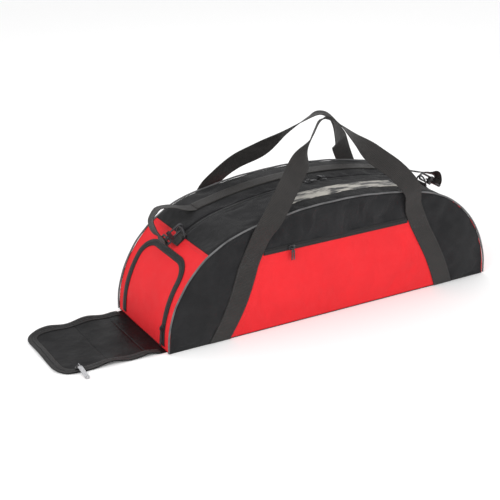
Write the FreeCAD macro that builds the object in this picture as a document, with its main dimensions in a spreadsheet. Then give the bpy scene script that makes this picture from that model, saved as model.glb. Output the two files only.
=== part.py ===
import FreeCAD, Part
import math
import os
import Sketcher
from FreeCAD import Placement, Rotation, Vector

# Long arched equipment bag: closed main zipper, end flap laid open on the floor, two carry handles.
#
# Frame: millimetres, +X along the bag towards its plain end, -Y to the pocket side, +Z up. The origin is
# the centre of the base on the floor. The side view is a three-centred arch: a short upright side, an end
# arc of small radius, and one long flat arc over the top.

doc = FreeCAD.newDocument("equipment_bag")
sheet = doc.addObject("Spreadsheet::Sheet", "Sheet")

SIZES = [
    ("bag_length", 914.0),
    ("bag_width", 280.0),
    ("bag_height", 292.0),
    ("end_radius", 260.0),
    ("side_rise", 10.0),
    ("fabric", 2.0),
    ("seam_foot", 327.0),
    ("seam_head", 207.0),
    ("seam_rise", 262.0),
    ("pocket_line", 200.0),
    ("webbing", 50.0),
    ("webbing_thick", 2.0),
    ("strap_width", 38.0),
    ("sewn_height", 210.0),
    ("tape_thick", 1.2),
    ("tape_width", 32.0),
    ("coil_width", 6.0),
    ("coil_thick", 1.4),
    ("piping_radius", 2.5),
    ("board_thick", 3.0),
    ("lining_top", 241.0),
    ("flap_length", 246.0),
    ("flap_half_width", 127.0),
    ("flap_corner", 45.0),
    ("flap_standoff", 14.0),
    ("ring_radius", 20.0),
    ("ring_wire", 2.2),
    ("hook_wire", 2.6),
    ("hook_bend", 8.0),
    ("border_arc", 258.0),
]


class Size:
    """A number that also carries the spreadsheet formula it comes from."""

    def __init__(self, value, text):
        self.value = float(value)
        self.text = text

    def _join(self, other, sign, value):
        return Size(value, f"({self.text} {sign} {as_size(other).text})")

    def __add__(self, other):
        return self._join(other, "+", self.value + as_size(other).value)

    def __sub__(self, other):
        return self._join(other, "-", self.value - as_size(other).value)

    def __mul__(self, other):
        return self._join(other, "*", self.value * as_size(other).value)

    def __truediv__(self, other):
        return self._join(other, "/", self.value / as_size(other).value)

    def __neg__(self):
        return self * -1

    def __rsub__(self, other):
        return as_size(other) - self

    __radd__ = __add__
    __rmul__ = __mul__


def as_size(number):
    return number if isinstance(number, Size) else Size(number, repr(float(number)))


def fill_sheet():
    sizes = {}
    for row, (alias, value) in enumerate(SIZES, start=1):
        sheet.set(f"A{row}", alias.replace("_", " "))
        sheet.set(f"B{row}", str(value))
        sheet.setAlias(f"B{row}", alias)
        sizes[alias] = Size(value, f"Sheet.{alias}")
    doc.recompute()
    return sizes


S = fill_sheet()
LENGTH, WIDTH, HEIGHT = S["bag_length"], S["bag_width"], S["bag_height"]
END_RADIUS, SIDE_RISE, FABRIC = S["end_radius"], S["side_rise"], S["fabric"]
WEBBING, WEBBING_THICK, STRAP_WIDTH = S["webbing"], S["webbing_thick"], S["strap_width"]
TAPE, TAPE_WIDTH = S["tape_thick"], S["tape_width"]
HALF_LENGTH = LENGTH / 2
HALF_WIDTH = WIDTH / 2
INNER_HALF = HALF_WIDTH - FABRIC

# The arch: end arcs centred at (+-END_X, SIDE_RISE), top arc centred at (0, TOP_Z), tangent to each other.
END_X = HALF_LENGTH - END_RADIUS
ARCH_RISE = HEIGHT - SIDE_RISE
TOP_RADIUS = (END_X * END_X + ARCH_RISE * ARCH_RISE - END_RADIUS * END_RADIUS) / (2 * (ARCH_RISE - END_RADIUS))
TOP_Z = HEIGHT - TOP_RADIUS
JOIN_ANGLE = math.degrees(math.asin(END_X.value / (TOP_RADIUS.value - END_RADIUS.value)))
BORDER_SWEEP = math.degrees((S["border_arc"].value - SIDE_RISE.value) / END_RADIUS.value)
BORDER_ANGLE = 180 - BORDER_SWEEP
LEAN = math.degrees(math.atan((S["seam_foot"].value - S["seam_head"].value) / S["seam_rise"].value))

SKIN_GAP = 0.5      # webbing that lies loose on the fabric
ALONG_Y = Rotation(Vector(1, 0, 0), 90)
LEVEL = Rotation()
finished = []


def bind(thing, prop, number):
    """Sets a property, and ties it to the sheet where the number comes from there."""
    if isinstance(number, Size):
        thing.setExpression(prop, number.text)
    else:
        setattr(thing, prop, number)


def place(thing, at, turn=LEVEL):
    thing.Placement = Placement(Vector(*[as_size(a).value for a in at]), turn)
    for axis, number in zip("xyz", at):
        if isinstance(number, Size):
            thing.setExpression(f"Placement.Base.{axis}", number.text)
    return thing


def keep(thing, label):
    thing.Label = label
    finished.append(thing)
    return thing


def box(name, length, width, height, at, turn=LEVEL):
    thing = doc.addObject("Part::Box", name)
    bind(thing, "Length", length)
    bind(thing, "Width", width)
    bind(thing, "Height", height)
    return place(thing, at, turn)


def cylinder(name, radius, height, at, turn=LEVEL, angle=360.0):
    thing = doc.addObject("Part::Cylinder", name)
    bind(thing, "Radius", radius)
    bind(thing, "Height", height)
    thing.Angle = angle
    return place(thing, at, turn)


def half_ring(name, bend, wire, at, turn, sweep=180.0):
    thing = doc.addObject("Part::Torus", name)
    bind(thing, "Radius1", bend)
    bind(thing, "Radius2", wire)
    thing.Angle3 = sweep
    return place(thing, at, turn)


def cut(name, base, tool):
    thing = doc.addObject("Part::Cut", name)
    thing.Base = base
    thing.Tool = tool
    return thing


def common(name, base, tool):
    thing = doc.addObject("Part::Common", name)
    thing.Base = base
    thing.Tool = tool
    return thing


def fuse(name, pieces):
    thing = doc.addObject("Part::MultiFuse", name)
    thing.Shapes = pieces
    thing.Refine = True
    return thing


def rounded(name, base, radius, chosen):
    """Fillets the edges of base that chosen(edge) picks."""
    doc.recompute()
    thing = doc.addObject("Part::Fillet", name)
    thing.Base = base
    numbers = [i + 1 for i, edge in enumerate(base.Shape.Edges) if chosen(edge)]
    thing.Edges = [(number, radius, radius) for number in numbers]
    return thing


def upright(edge):
    ends = [v.Point for v in edge.Vertexes]
    return len(ends) == 2 and abs(ends[0].z - ends[1].z) > 0.9 * edge.Length


# ---------------------------------------------------------------- the arch and what is cut from it


def arc_band(name, centre_x, centre_z, radius, thickness, start, sweep, y_high, width):
    """A curved strip about a Y axis, from start degrees (0 is +X, 90 is up) through sweep degrees."""
    turn = ALONG_Y.multiply(Rotation(Vector(0, 0, 1), start))
    outer = cylinder(name + "_outer", radius, width, (centre_x, y_high, centre_z), turn, sweep)
    inner = cylinder(name + "_inner", radius - thickness, width, (centre_x, y_high, centre_z), ALONG_Y)
    return cut(name, outer, inner)


def arch_band(name, lift, thickness, left_angle, right_angle, y_high, width):
    """A strip that follows the arch between two angles, its outer face lift outside the fabric."""
    end_left = 90 + JOIN_ANGLE
    end_right = 90 - JOIN_ANGLE
    pieces = []
    if left_angle > end_left:
        pieces.append(arc_band(name + "_left", -END_X, SIDE_RISE, END_RADIUS + lift, thickness,
                               end_left, left_angle - end_left, y_high, width))
    top_left = min(left_angle, end_left)
    top_right = max(right_angle, end_right)
    pieces.append(arc_band(name + "_top", 0.0, TOP_Z, TOP_RADIUS + lift, thickness,
                           top_right, top_left - top_right, y_high, width))
    if right_angle < end_right:
        pieces.append(arc_band(name + "_right", END_X, SIDE_RISE, END_RADIUS + lift, thickness,
                               right_angle, end_right - right_angle, y_high, width))
    return fuse(name, pieces) if len(pieces) > 1 else pieces[0]


def top_angle(x):
    """The top arc's angle at a distance x along the bag."""
    return 90 - math.degrees(math.asin(x / TOP_RADIUS.value))


def arch_outline():
    """The closed side view, from the bottom panel's upper face to the crown of the arch."""
    sketch = doc.addObject("Sketcher::SketchObject", "arch_outline")
    sketch.Placement = Placement(Vector(), ALONG_Y)
    half, floor, rise = HALF_LENGTH.value, FABRIC.value, SIDE_RISE.value
    end_x, radius, join = END_X.value, END_RADIUS.value, math.radians(JOIN_ANGLE)
    normal = Vector(0, 0, 1)

    def arc(x, z, r, start, stop):
        return Part.ArcOfCircle(Part.Circle(Vector(x, z, 0), normal, r), start, stop)

    def line(x1, z1, x2, z2):
        return Part.LineSegment(Vector(x1, z1, 0), Vector(x2, z2, 0))

    quarter = math.pi / 2
    sketch.addGeometry(line(-half, floor, half, floor))
    sketch.addGeometry(line(half, floor, half, rise))
    sketch.addGeometry(arc(end_x, rise, radius, 0, quarter - join))
    sketch.addGeometry(arc(0, TOP_Z.value, TOP_RADIUS.value, quarter - join, quarter + join))
    sketch.addGeometry(arc(-end_x, rise, radius, quarter + join, 2 * quarter))
    sketch.addGeometry(line(-half, rise, -half, floor))
    base, right, right_arc, top, left_arc, left = range(6)
    first, last, middle = 1, 2, 3
    axis_z = -2
    for kind, *where in (
        ("Coincident", base, last, right, first),
        ("Tangent", right, last, right_arc, first),
        ("Tangent", right_arc, last, top, first),
        ("Tangent", top, last, left_arc, first),
        ("Tangent", left_arc, last, left, first),
        ("Coincident", left, last, base, first),
        ("Horizontal", base),
        ("Vertical", right),
        ("Vertical", left),
        ("PointOnObject", top, middle, axis_z),
        ("Equal", right_arc, left_arc),
    ):
        sketch.addConstraint(Sketcher.Constraint(kind, *where))
    for kind, number, *where in (
        ("DistanceX", LENGTH, base, first, base, last),
        ("DistanceY", FABRIC, -1, first, base, first),
        ("DistanceY", SIDE_RISE - FABRIC, right, first, right, last),
        ("Radius", END_RADIUS, right_arc),
        ("Radius", TOP_RADIUS, top),
    ):
        index = sketch.addConstraint(Sketcher.Constraint(kind, *where, number.value))
        sketch.setExpression(f"Constraints[{index}]", number.text)
    return sketch


def wall(name, outline, y_high, thickness):
    """The arch outline made into a flat wall whose back face is at y_high."""
    thing = doc.addObject("Part::Extrusion", name)
    thing.Base = outline
    thing.DirMode = "Custom"
    thing.Dir = Vector(0, -1, 0)
    bind(thing, "LengthFwd", thickness)
    thing.Solid = True
    return place(thing, (0.0, y_high, 0.0))


REACH = 1300.0      # longer than the bag, for the cutting blocks
FOLD_GAP = 0.6
FLAP_HINGE_X = -(END_X + END_RADIUS + S["flap_standoff"])
FLAP_BEND = 24.0    # what each of the flap's two inner folds turns when the flap is shut


def flap_cuts():
    """Distances from the hinge to the folds: flat plates that touch the curved end's offset circle."""
    circle = END_RADIUS + S["flap_standoff"]
    touch = math.tan(math.radians(FLAP_BEND / 2))
    first = circle * touch + SIDE_RISE - FABRIC - TAPE
    return [Size(0, "0"), first, first + 2 * circle * touch, S["flap_length"]]


FLAP_CUTS = flap_cuts()


def seam_blocks(name):
    """Two blocks whose inner faces are the slanted seams; between them is the middle of the side wall."""
    low = -REACH / 4
    left = box(name + "_left", REACH, REACH, REACH, (0.0, 0.0, 0.0))
    turn = Rotation(Vector(0, 1, 0), LEAN)
    foot = -S["seam_foot"]
    corner = turn.multVec(Vector(-REACH, -REACH / 2, low))
    place(left, (foot + corner.x, corner.y, corner.z), turn)
    right = box(name + "_right", REACH, REACH, REACH, (0.0, 0.0, 0.0))
    turn = Rotation(Vector(0, 1, 0), -LEAN)
    corner = turn.multVec(Vector(0, -REACH / 2, low))
    place(right, (S["seam_foot"] + corner.x, corner.y, corner.z), turn)
    return left, right


def side_walls():
    outline = arch_outline()
    for side, y_high in (("front", -INNER_HALF), ("back", HALF_WIDTH)):
        slab = wall(side + "_slab", outline, y_high, FABRIC)
        left, right = seam_blocks(side + "_seam")
        keep(common(side + "_panel_left", slab, left), side + "_panel_left")
        keep(common(side + "_panel_right", slab, right), side + "_panel_right")
        middle = cut(side + "_middle", cut(side + "_without_left", slab, left), right)
        if side == "back":
            keep(middle, "back_panel_centre")
            continue
        slot = 1.0
        below = box("below_pocket_zip", REACH, REACH, S["pocket_line"] - slot, (-REACH / 2, -REACH / 2, 0.0))
        above = box("above_pocket_zip", REACH, REACH, HEIGHT, (-REACH / 2, -REACH / 2, S["pocket_line"] + slot))
        keep(common("front_pocket_lower", middle, below), "front_pocket_lower")
        keep(common("front_pocket_upper", middle, above), "front_pocket_upper")
    lining_slab = wall("lining_slab", outline, -INNER_HALF + FABRIC, FABRIC)
    lining_low = FABRIC + S["board_thick"] + 3.0
    lining_block = box("lining_block", 2 * S["seam_head"], REACH, S["lining_top"] - lining_low,
                       (-S["seam_head"], -REACH / 2, lining_low))
    keep(common("front_pocket_lining", lining_slab, lining_block), "front_pocket_lining")


def end_gusset(label, side):
    """The red end: an upright foot and an arc up to the border seam."""
    start = BORDER_ANGLE if side < 0 else 0.0
    arc = arc_band(label + "_arc", side * END_X, SIDE_RISE, END_RADIUS, FABRIC, start, BORDER_SWEEP,
                   INNER_HALF, 2 * INNER_HALF)
    foot_x = -HALF_LENGTH if side < 0 else HALF_LENGTH - FABRIC
    foot = box(label + "_foot", FABRIC, 2 * INNER_HALF, SIDE_RISE - FABRIC, (foot_x, -INNER_HALF, FABRIC))
    keep(fuse(label, [arc, foot]), label)


def top_gusset():
    left, right = BORDER_ANGLE, 180 - BORDER_ANGLE
    slit = 8.0
    strip = INNER_HALF - slit
    keep(arch_band("gusset_top_front", 0.0, FABRIC, left, right, -slit, strip), "gusset_top_front")
    keep(arch_band("gusset_top_back", 0.0, FABRIC, left, right, INNER_HALF, strip), "gusset_top_back")
    keep(arch_band("main_zip_tape", -0.4, TAPE, left, right, slit, 2 * slit), "main_zip_tape")
    keep(arch_band("main_zip_coil", S["coil_thick"] - 0.4, S["coil_thick"], left, right,
                   S["coil_width"] / 2, S["coil_width"]), "main_zip_coil")
    tab_sweep, border_gap = 2.4, 1.2
    tabs = []
    for name, centre, start in (
        ("zip_end_left", -END_X, BORDER_ANGLE - border_gap - tab_sweep),
        ("zip_end_right", END_X, 180 - BORDER_ANGLE + border_gap),
    ):
        tabs.append(arc_band(name, centre, SIDE_RISE, END_RADIUS + S["coil_thick"] + 1.0, 1.0, start, tab_sweep,
                             TAPE_WIDTH / 2, TAPE_WIDTH))
    keep(fuse("zip_end_tabs", tabs), "zip_end_tabs")
    keep(arch_band("top_trim_patch", 0.8, 0.8, top_angle(-130.0), top_angle(200.0), -38.0, 66.0),
         "top_trim_patch")


def base():
    floor = box("bottom_floor", LENGTH, WIDTH, FABRIC, (-HALF_LENGTH, -HALF_WIDTH, 0.0))
    tongue_start = FLAP_HINGE_X + FOLD_GAP
    tongue = box("bottom_tongue", -HALF_LENGTH - tongue_start, 2 * S["flap_half_width"], FABRIC,
                 (tongue_start, -S["flap_half_width"], 0.0))
    keep(fuse("bottom_panel", [floor, tongue]), "bottom_panel")
    margin = 6.0
    board = box("board_blank", LENGTH - 2 * (FABRIC + margin), WIDTH - 2 * (FABRIC + margin), S["board_thick"],
                (-HALF_LENGTH + FABRIC + margin, -INNER_HALF + margin, FABRIC))
    keep(rounded("base_board", board, 12.0, upright), "base_board")


def piping(label, side):
    """A round cord in a sleeve, proud of the corner between the side wall and the gusset."""
    out = S["piping_radius"] * 0.72
    y = side * (HALF_WIDTH + out).value
    radius, top = (END_RADIUS + out).value, (TOP_RADIUS + out).value
    half, rise, end_x = (HALF_LENGTH + out).value, SIDE_RISE.value, END_X.value
    join = math.radians(JOIN_ANGLE)

    def on_arc(centre_x, centre_z, r, angle):
        return Vector(centre_x + r * math.cos(angle), y, centre_z + r * math.sin(angle))

    quarter = math.pi / 2
    foot = S["piping_radius"].value
    left_join = on_arc(-end_x, rise, radius, quarter + join)
    right_join = on_arc(end_x, rise, radius, quarter - join)
    edges = [
        Part.LineSegment(Vector(-half, y, foot), Vector(-half, y, rise)),
        Part.Arc(Vector(-half, y, rise), on_arc(-end_x, rise, radius, (3 * quarter + join) / 2), left_join),
        Part.Arc(left_join, on_arc(0, TOP_Z.value, top, quarter), right_join),
        Part.Arc(right_join, on_arc(end_x, rise, radius, (quarter - join) / 2), Vector(half, y, rise)),
        Part.LineSegment(Vector(half, y, rise), Vector(half, y, foot)),
    ]
    keep(cord(label, edges, foot, 6), label)


def cord(name, edges, radius, sides):
    """A cord of many-sided section along edges that start straight up from the first one's start."""
    start = edges[0].StartPoint
    corners = [start + Vector(radius * math.cos(2 * math.pi * (i + 0.5) / sides),
                              radius * math.sin(2 * math.pi * (i + 0.5) / sides), 0) for i in range(sides)]
    path = Part.Wire([edge.toShape() for edge in edges])
    thing = doc.addObject("Part::Feature", name)
    thing.Shape = path.makePipeShell([Part.makePolygon(corners + corners[:1])], True, False)
    return thing


# ---------------------------------------------------------------- end pocket, flap and its zipper


def u_outline(y_foot, y_head, z_low, z_high, corner):
    """Half-widths at foot and head, straight legs and round upper corners, in the YZ plane."""
    lean = (y_foot - y_head) / (z_high - z_low)
    points = [Vector(0, -y_foot, z_low), Vector(0, -y_head, z_high), Vector(0, y_head, z_high),
              Vector(0, y_foot, z_low)]
    wire = Part.makePolygon(points + points[:1])
    face = Part.Face(wire)
    solid = face.extrude(Vector(-REACH, 0, 0))
    tops = [e for e in solid.Edges if abs(e.CenterOfMass.z - z_high) < abs(lean) + 0.1
            and abs(abs(e.CenterOfMass.y) - y_head) < 0.1]
    return solid.makeFillet(corner, tops)


def end_zip():
    """The half of the zipper that stays on the bag: an upside-down U on the curved end."""
    ring = END_RADIUS + TAPE
    shell = arc_band("end_tape_shell", -END_X, SIDE_RISE, ring, TAPE - 0.01, BORDER_ANGLE, BORDER_SWEEP,
                     HALF_WIDTH, WIDTH)
    outer_foot, outer_head, top, corner = 126.0, 122.0, 207.0, 60.0
    width = TAPE_WIDTH.value + 4.0
    outer = u_outline(outer_foot, outer_head, 12.0, top, corner)
    inner = u_outline(outer_foot - width, outer_head - width, 11.0, top - TAPE_WIDTH.value, corner - width + 8.0)
    band = doc.addObject("Part::Feature", "end_tape_cutter")
    band.Shape = outer.cut(inner)
    keep(common("end_zip_tape", shell, band), "end_zip_tape")


FLAP_TAPER = 10.0


def flap_half_width(distance):
    """Half the flap's width at a distance from its hinge."""
    return S["flap_half_width"] - FLAP_TAPER * distance / S["flap_length"]


def flap_plate(name, start, stop, inset, low, thickness, corner):
    """A plate of the flap between two distances from the hinge, its free edges inset, as a body."""
    body = doc.addObject("PartDesign::Body", name)
    plane = [f for f in body.Origin.OriginFeatures if f.Role == "XY_Plane"][0]
    sketch = body.newObject("Sketcher::SketchObject", name + "_outline")
    sketch.AttachmentSupport = [(plane, "")]
    sketch.MapMode = "FlatFace"
    near = start
    far = stop - (inset if corner else 0.0)
    corners = [
        (near, flap_half_width(start) - inset), (far, flap_half_width(stop) - inset),
        (far, -(flap_half_width(stop) - inset)), (near, -(flap_half_width(start) - inset)),
    ]
    for i in range(4):
        (x1, y1), (x2, y2) = corners[i], corners[(i + 1) % 4]
        sketch.addGeometry(Part.LineSegment(Vector(-x1.value, y1.value, 0), Vector(-x2.value, y2.value, 0)))
    for i in range(4):
        sketch.addConstraint(Sketcher.Constraint("Coincident", i, 2, (i + 1) % 4, 1))
    for i, (x, y) in enumerate(corners):
        for kind, number in (("DistanceX", -x), ("DistanceY", y)):
            index = sketch.addConstraint(Sketcher.Constraint(kind, -1, 1, i, 1, number.value))
            if "Sheet" in number.text:
                sketch.setExpression(f"Constraints[{index}]", number.text)
    pad = body.newObject("PartDesign::Pad", name + "_pad")
    pad.Profile = sketch
    bind(pad, "Length", thickness)
    if corner:
        doc.recompute()
        outer_x = -far.value
        numbers = [i + 1 for i, e in enumerate(pad.Shape.Edges)
                   if upright(e) and abs(e.CenterOfMass.x - outer_x) < 0.1]
        fillet = body.newObject("PartDesign::Fillet", name + "_corners")
        fillet.Base = (pad, [f"Edge{number}" for number in numbers])
        bind(fillet, "Radius", corner)
    place(body, (FLAP_HINGE_X, 0.0, low))
    return body


def flap():
    """The end flap in three plates, so that it can wrap the curved end, each with its run of zipper."""
    tape_low = FABRIC
    edge, tape = 6.0, 16.0
    for i, part_name in enumerate(("inner", "middle", "outer")):
        start = FLAP_CUTS[i] + FOLD_GAP / 2
        last = i == 2
        stop = FLAP_CUTS[i + 1] - (0.0 if last else FOLD_GAP / 2)
        corner = S["flap_corner"] if last else None
        keep(flap_plate("flap_" + part_name, start, stop, 0.0, 0.0, FABRIC, corner), "flap_" + part_name)
        blank = flap_plate("flap_tape_blank_" + part_name, start, stop, edge, tape_low, TAPE,
                           corner - edge if last else None)
        hole = flap_plate("flap_tape_hole_" + part_name, start, stop, edge + tape, tape_low, TAPE,
                          corner - edge - tape if last else None)
        keep(cut("flap_tape_" + part_name, blank, hole), "flap_tape_" + part_name)


# ---------------------------------------------------------------- zipper sliders and pulls

ZIP = 1.25          # slider size against a small coat zipper
CROWN_PIN = 3.3     # height of an inline pull's bar above the coil
CROWN_TOP = 6.6
CROWN_BAR = 1.2     # thickness of the crown's top bar, which a hanging pull's ring goes round


def body_sketch(body, name, role, loops):
    """A sketch on one of the body's own planes, from closed loops of points."""
    plane = [f for f in body.Origin.OriginFeatures if f.Role == role][0]
    sketch = body.newObject("Sketcher::SketchObject", name)
    sketch.AttachmentSupport = [(plane, "")]
    sketch.MapMode = "FlatFace"
    for loop in loops:
        first = sketch.GeometryCount
        count = len(loop)
        for i, (x, y) in enumerate(loop):
            x2, y2 = loop[(i + 1) % count]
            sketch.addGeometry(Part.LineSegment(Vector(x * ZIP, y * ZIP, 0), Vector(x2 * ZIP, y2 * ZIP, 0)))
        for i in range(count):
            sketch.addConstraint(Sketcher.Constraint("Coincident", first + i, 2, first + (i + 1) % count, 1))
    return sketch


def pad_loops(body, name, role, loops, length, offset=0.0, both=False):
    sketch = body_sketch(body, name + "_sketch", role, loops)
    sketch.AttachmentOffset = Placement(Vector(0, 0, offset * ZIP), LEVEL)
    pad = body.newObject("PartDesign::Pad", name)
    pad.Profile = sketch
    pad.Length = length * ZIP
    pad.Midplane = both
    return pad


def slider(label, placement):
    """A slider: a shield plate over the coil, two rails beside it, and an arched crown for the pull."""
    body = doc.addObject("PartDesign::Body", label)
    shield = [(-7, -2.6), (-4.5, -5), (3.5, -5), (7, -3.4), (7, 3.4), (3.5, 5), (-4.5, 5), (-7, 2.6)]
    pad_loops(body, label + "_plate", "XY_Plane", [shield], 1.6, 0.5)
    rails = [[(-4.5, y), (3.5, y), (3.5, y + 1.2), (-4.5, y + 1.2)] for y in (-5.0, 3.8)]
    pad_loops(body, label + "_rails", "XY_Plane", rails, 0.7, 0.0)
    under = CROWN_TOP - CROWN_BAR
    crown = [(-4.6, 2.1), (-4.6, 5.1), (-3.2, CROWN_TOP), (3.2, CROWN_TOP), (4.6, 5.1), (4.6, 2.1),
             (3.4, 2.1), (3.4, 4.7), (2.7, under), (-2.7, under), (-3.4, 4.7), (-3.4, 2.1)]
    pad_loops(body, label + "_crown", "XZ_Plane", [crown], 2.0, 0.0, both=True)
    doc.recompute()
    body.Placement = placement
    keep(body, label)


def inline_pull(label, placement, length, width):
    """A pull that lies along the zipper: its eye goes round the crown's front post."""
    body = doc.addObject("PartDesign::Body", label)
    tip = length / ZIP
    wide = width / ZIP / 2
    outline = [(-0.7, -3.4), (6.6, -3.4), (9.0, -wide), (tip - 2, -wide), (tip, -wide * 0.5),
               (tip, wide * 0.5), (tip - 2, wide), (9.0, wide), (6.6, 3.4), (-0.7, 3.4)]
    eye = [(0.4, -2.1), (5.6, -2.1), (5.6, 2.1), (0.4, 2.1)]
    grip = [(tip - 5.4, -wide * 0.45), (tip - 2.2, -wide * 0.45), (tip - 2.2, wide * 0.45),
            (tip - 5.4, wide * 0.45)]
    pad_loops(body, label + "_plate", "XY_Plane", [outline, eye, grip], 1.2, -0.6)
    doc.recompute()
    body.Placement = placement
    keep(body, label)


def octagon(radius):
    turn = math.pi / 4
    return [(radius * math.cos((i + 0.5) * turn), radius * math.sin((i + 0.5) * turn)) for i in range(8)]


def side_pull(label, placement, length, width, fork=False):
    """A pull that hangs across the zipper from a small ring through the crown."""
    body = doc.addObject("PartDesign::Body", label)
    tip = length / ZIP
    wide = width / ZIP / 2
    pad_loops(body, label + "_ring", "XZ_Plane", [octagon(3.0), octagon(1.9)], 1.4, 0.0, both=True)
    start = 2.4
    if fork:
        tongue = [(start, -1.2), (start + 3, -wide), (tip, -wide), (tip, -wide * 0.35), (start + 5, -wide * 0.2),
                  (start + 5, wide * 0.2), (tip, wide * 0.35), (tip, wide), (start + 3, wide), (start, 1.2)]
        pad_loops(body, label + "_fork", "XY_Plane", [tongue], 1.4, -0.7)
    else:
        tongue = [(start, -1.2), (start + 3, -wide), (tip - 2, -wide), (tip, -wide * 0.5),
                  (tip, wide * 0.5), (tip - 2, wide), (start + 3, wide), (start, 1.2)]
        grip = [(tip - 7, -wide * 0.5), (tip - 2.6, -wide * 0.5), (tip - 2.6, wide * 0.5), (tip - 7, wide * 0.5)]
        pad_loops(body, label + "_tongue", "XY_Plane", [tongue, grip], 1.2, -0.6)
    doc.recompute()
    body.Placement = placement
    keep(body, label)


def frame_at(origin, along, outward):
    """A placement whose X runs along a zipper and whose Z points out of the fabric."""
    x = Vector(*along).normalize()
    z = Vector(*outward).normalize()
    y = z.cross(x)
    turn = Rotation(FreeCAD.Matrix(x.x, y.x, z.x, 0, x.y, y.y, z.y, 0, x.z, y.z, z.z, 0, 0, 0, 0, 1))
    return Placement(Vector(*origin), turn)


def on_crown(slider_frame, turn=0.0, dip=4.0):
    """A pull's frame: under the crown for an inline pull, round its top bar for one that hangs across.

    It is turned about the outward direction, then its tip is dipped towards the fabric.
    """
    high = CROWN_TOP - CROWN_BAR / 2 if turn else CROWN_PIN
    turned = Rotation(Vector(0, 0, 1), turn).multiply(Rotation(Vector(0, 1, 0), dip))
    return slider_frame.multiply(Placement(Vector(0, 0, high * ZIP), turned))


COIL_CLEAR = 0.3


def main_sliders():
    coil_out = S["coil_thick"].value - 0.4 + COIL_CLEAR
    for label, x, facing in (("left", 2.0, 1), ("right", 46.0, -1)):
        angle = math.radians(top_angle(x))
        radial = Vector(math.cos(angle), 0, math.sin(angle))
        at = Vector(0, 0, TOP_Z.value) + radial * (TOP_RADIUS.value + coil_out)
        along = Vector(math.sin(angle), 0, -math.cos(angle)) * facing
        frame = frame_at(at, along, radial)
        slider("main_slider_" + label, frame)
        if label == "left":
            inline_pull("main_pull_left", on_crown(frame), 24.0, 7.0)
        else:
            side_pull("main_pull_right", on_crown(frame, -90.0, 11.0), 36.0, 8.0)


def pocket_zip():
    """The pocket's straight zipper between the two carry straps, its slider at the left end."""
    line = S["pocket_line"]
    half = 8.0
    start, stop = -206.0, 206.0
    coil_low, coil_high = -S["coil_width"] / 2 + line, S["coil_width"]
    keep(box("pocket_zip_tape", stop - start, TAPE, 2 * half, (start, -HALF_WIDTH - TAPE, line - half)),
         "pocket_zip_tape")
    keep(box("pocket_zip_coil", stop - start - 10.0, S["coil_thick"], coil_high,
             (start + 5.0, -HALF_WIDTH - TAPE - S["coil_thick"], coil_low)), "pocket_zip_coil")
    out = (HALF_WIDTH + TAPE + S["coil_thick"]).value + COIL_CLEAR
    frame = frame_at((-131.0, -out, line.value), (-1, 0, 0), (0, -1, 0))
    slider("pocket_slider", frame)
    side_pull("pocket_pull", on_crown(frame, 90.0, 0.0), 30.0, 9.0, fork=True)


def end_slider():
    """The slider at the foot of the U's front leg, with a long pull that hangs down the leg."""
    arc = math.radians(180 - 9.5)
    out = END_RADIUS.value + TAPE.value + COIL_CLEAR + 0.7
    radial = Vector(math.cos(arc), 0, math.sin(arc))
    at = Vector(-END_X.value, -107.0, SIDE_RISE.value) + radial * out
    down = Vector(-math.sin(arc), 0, math.cos(arc))
    frame = frame_at(at, down, radial)
    slider("end_slider", frame)
    inline_pull("end_pull", on_crown(frame), 44.0, 8.0)


def flap_slider():
    """The bright slider on the flap's near edge, its pull lying over the edge towards the floor."""
    at = (-664.0, -103.0, (FABRIC + TAPE).value + COIL_CLEAR + 0.7)
    frame = frame_at(at, (1, 0, 0), (0, 0, 1))
    slider("flap_slider", frame)
    side_pull("flap_pull", on_crown(frame, -90.0, 9.0), 54.0, 11.0)


# ---------------------------------------------------------------- webbing


def sewn_strap(label, side_x, side_y):
    """A carry strap sewn on the side wall along the slanted seam, cut level at its foot."""
    lean = -LEAN * side_x
    turn = Rotation(Vector(0, 1, 0), lean)
    strip = box(label + "_strip", WEBBING, WEBBING_THICK, 2 * S["sewn_height"], (0.0, 0.0, 0.0))
    shift = turn.multVec(Vector(-WEBBING.value / 2, 0, -S["sewn_height"].value / 2))
    y = -HALF_WIDTH - WEBBING_THICK if side_y < 0 else HALF_WIDTH
    place(strip, (side_x * S["seam_foot"] + shift.x, y, shift.z), turn)
    window = box(label + "_window", LENGTH, WIDTH, S["sewn_height"],
                 (-HALF_LENGTH, -WIDTH if side_y < 0 else 0.0, 0.0))
    trimmed = common(label + "_trimmed", strip, window)
    if side_y > 0:
        keep(trimmed, label)
        return
    zip_space = box(label + "_zip_space", 412.0, TAPE + S["coil_thick"], 16.0,
                    (-206.0, -HALF_WIDTH - TAPE - S["coil_thick"], S["pocket_line"] - 8.0))
    keep(cut(label, trimmed, zip_space), label)


def smooth(points, steps):
    """Points on a smooth curve through the given ones, a few to each span."""
    ends = [points[0] * 2 - points[1]] + points + [points[-1] * 2 - points[-2]]
    found = []
    for a, b, c, d in zip(ends, ends[1:], ends[2:], ends[3:]):
        for i in range(steps):
            t = i / steps
            found.append((b * 2 + (c - a) * t + (a * 2 - b * 5 + c * 4 - d) * t * t
                          + (b * 3 - a - c * 3 + d) * t * t * t) * 0.5)
    return found + [points[-1]]


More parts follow.
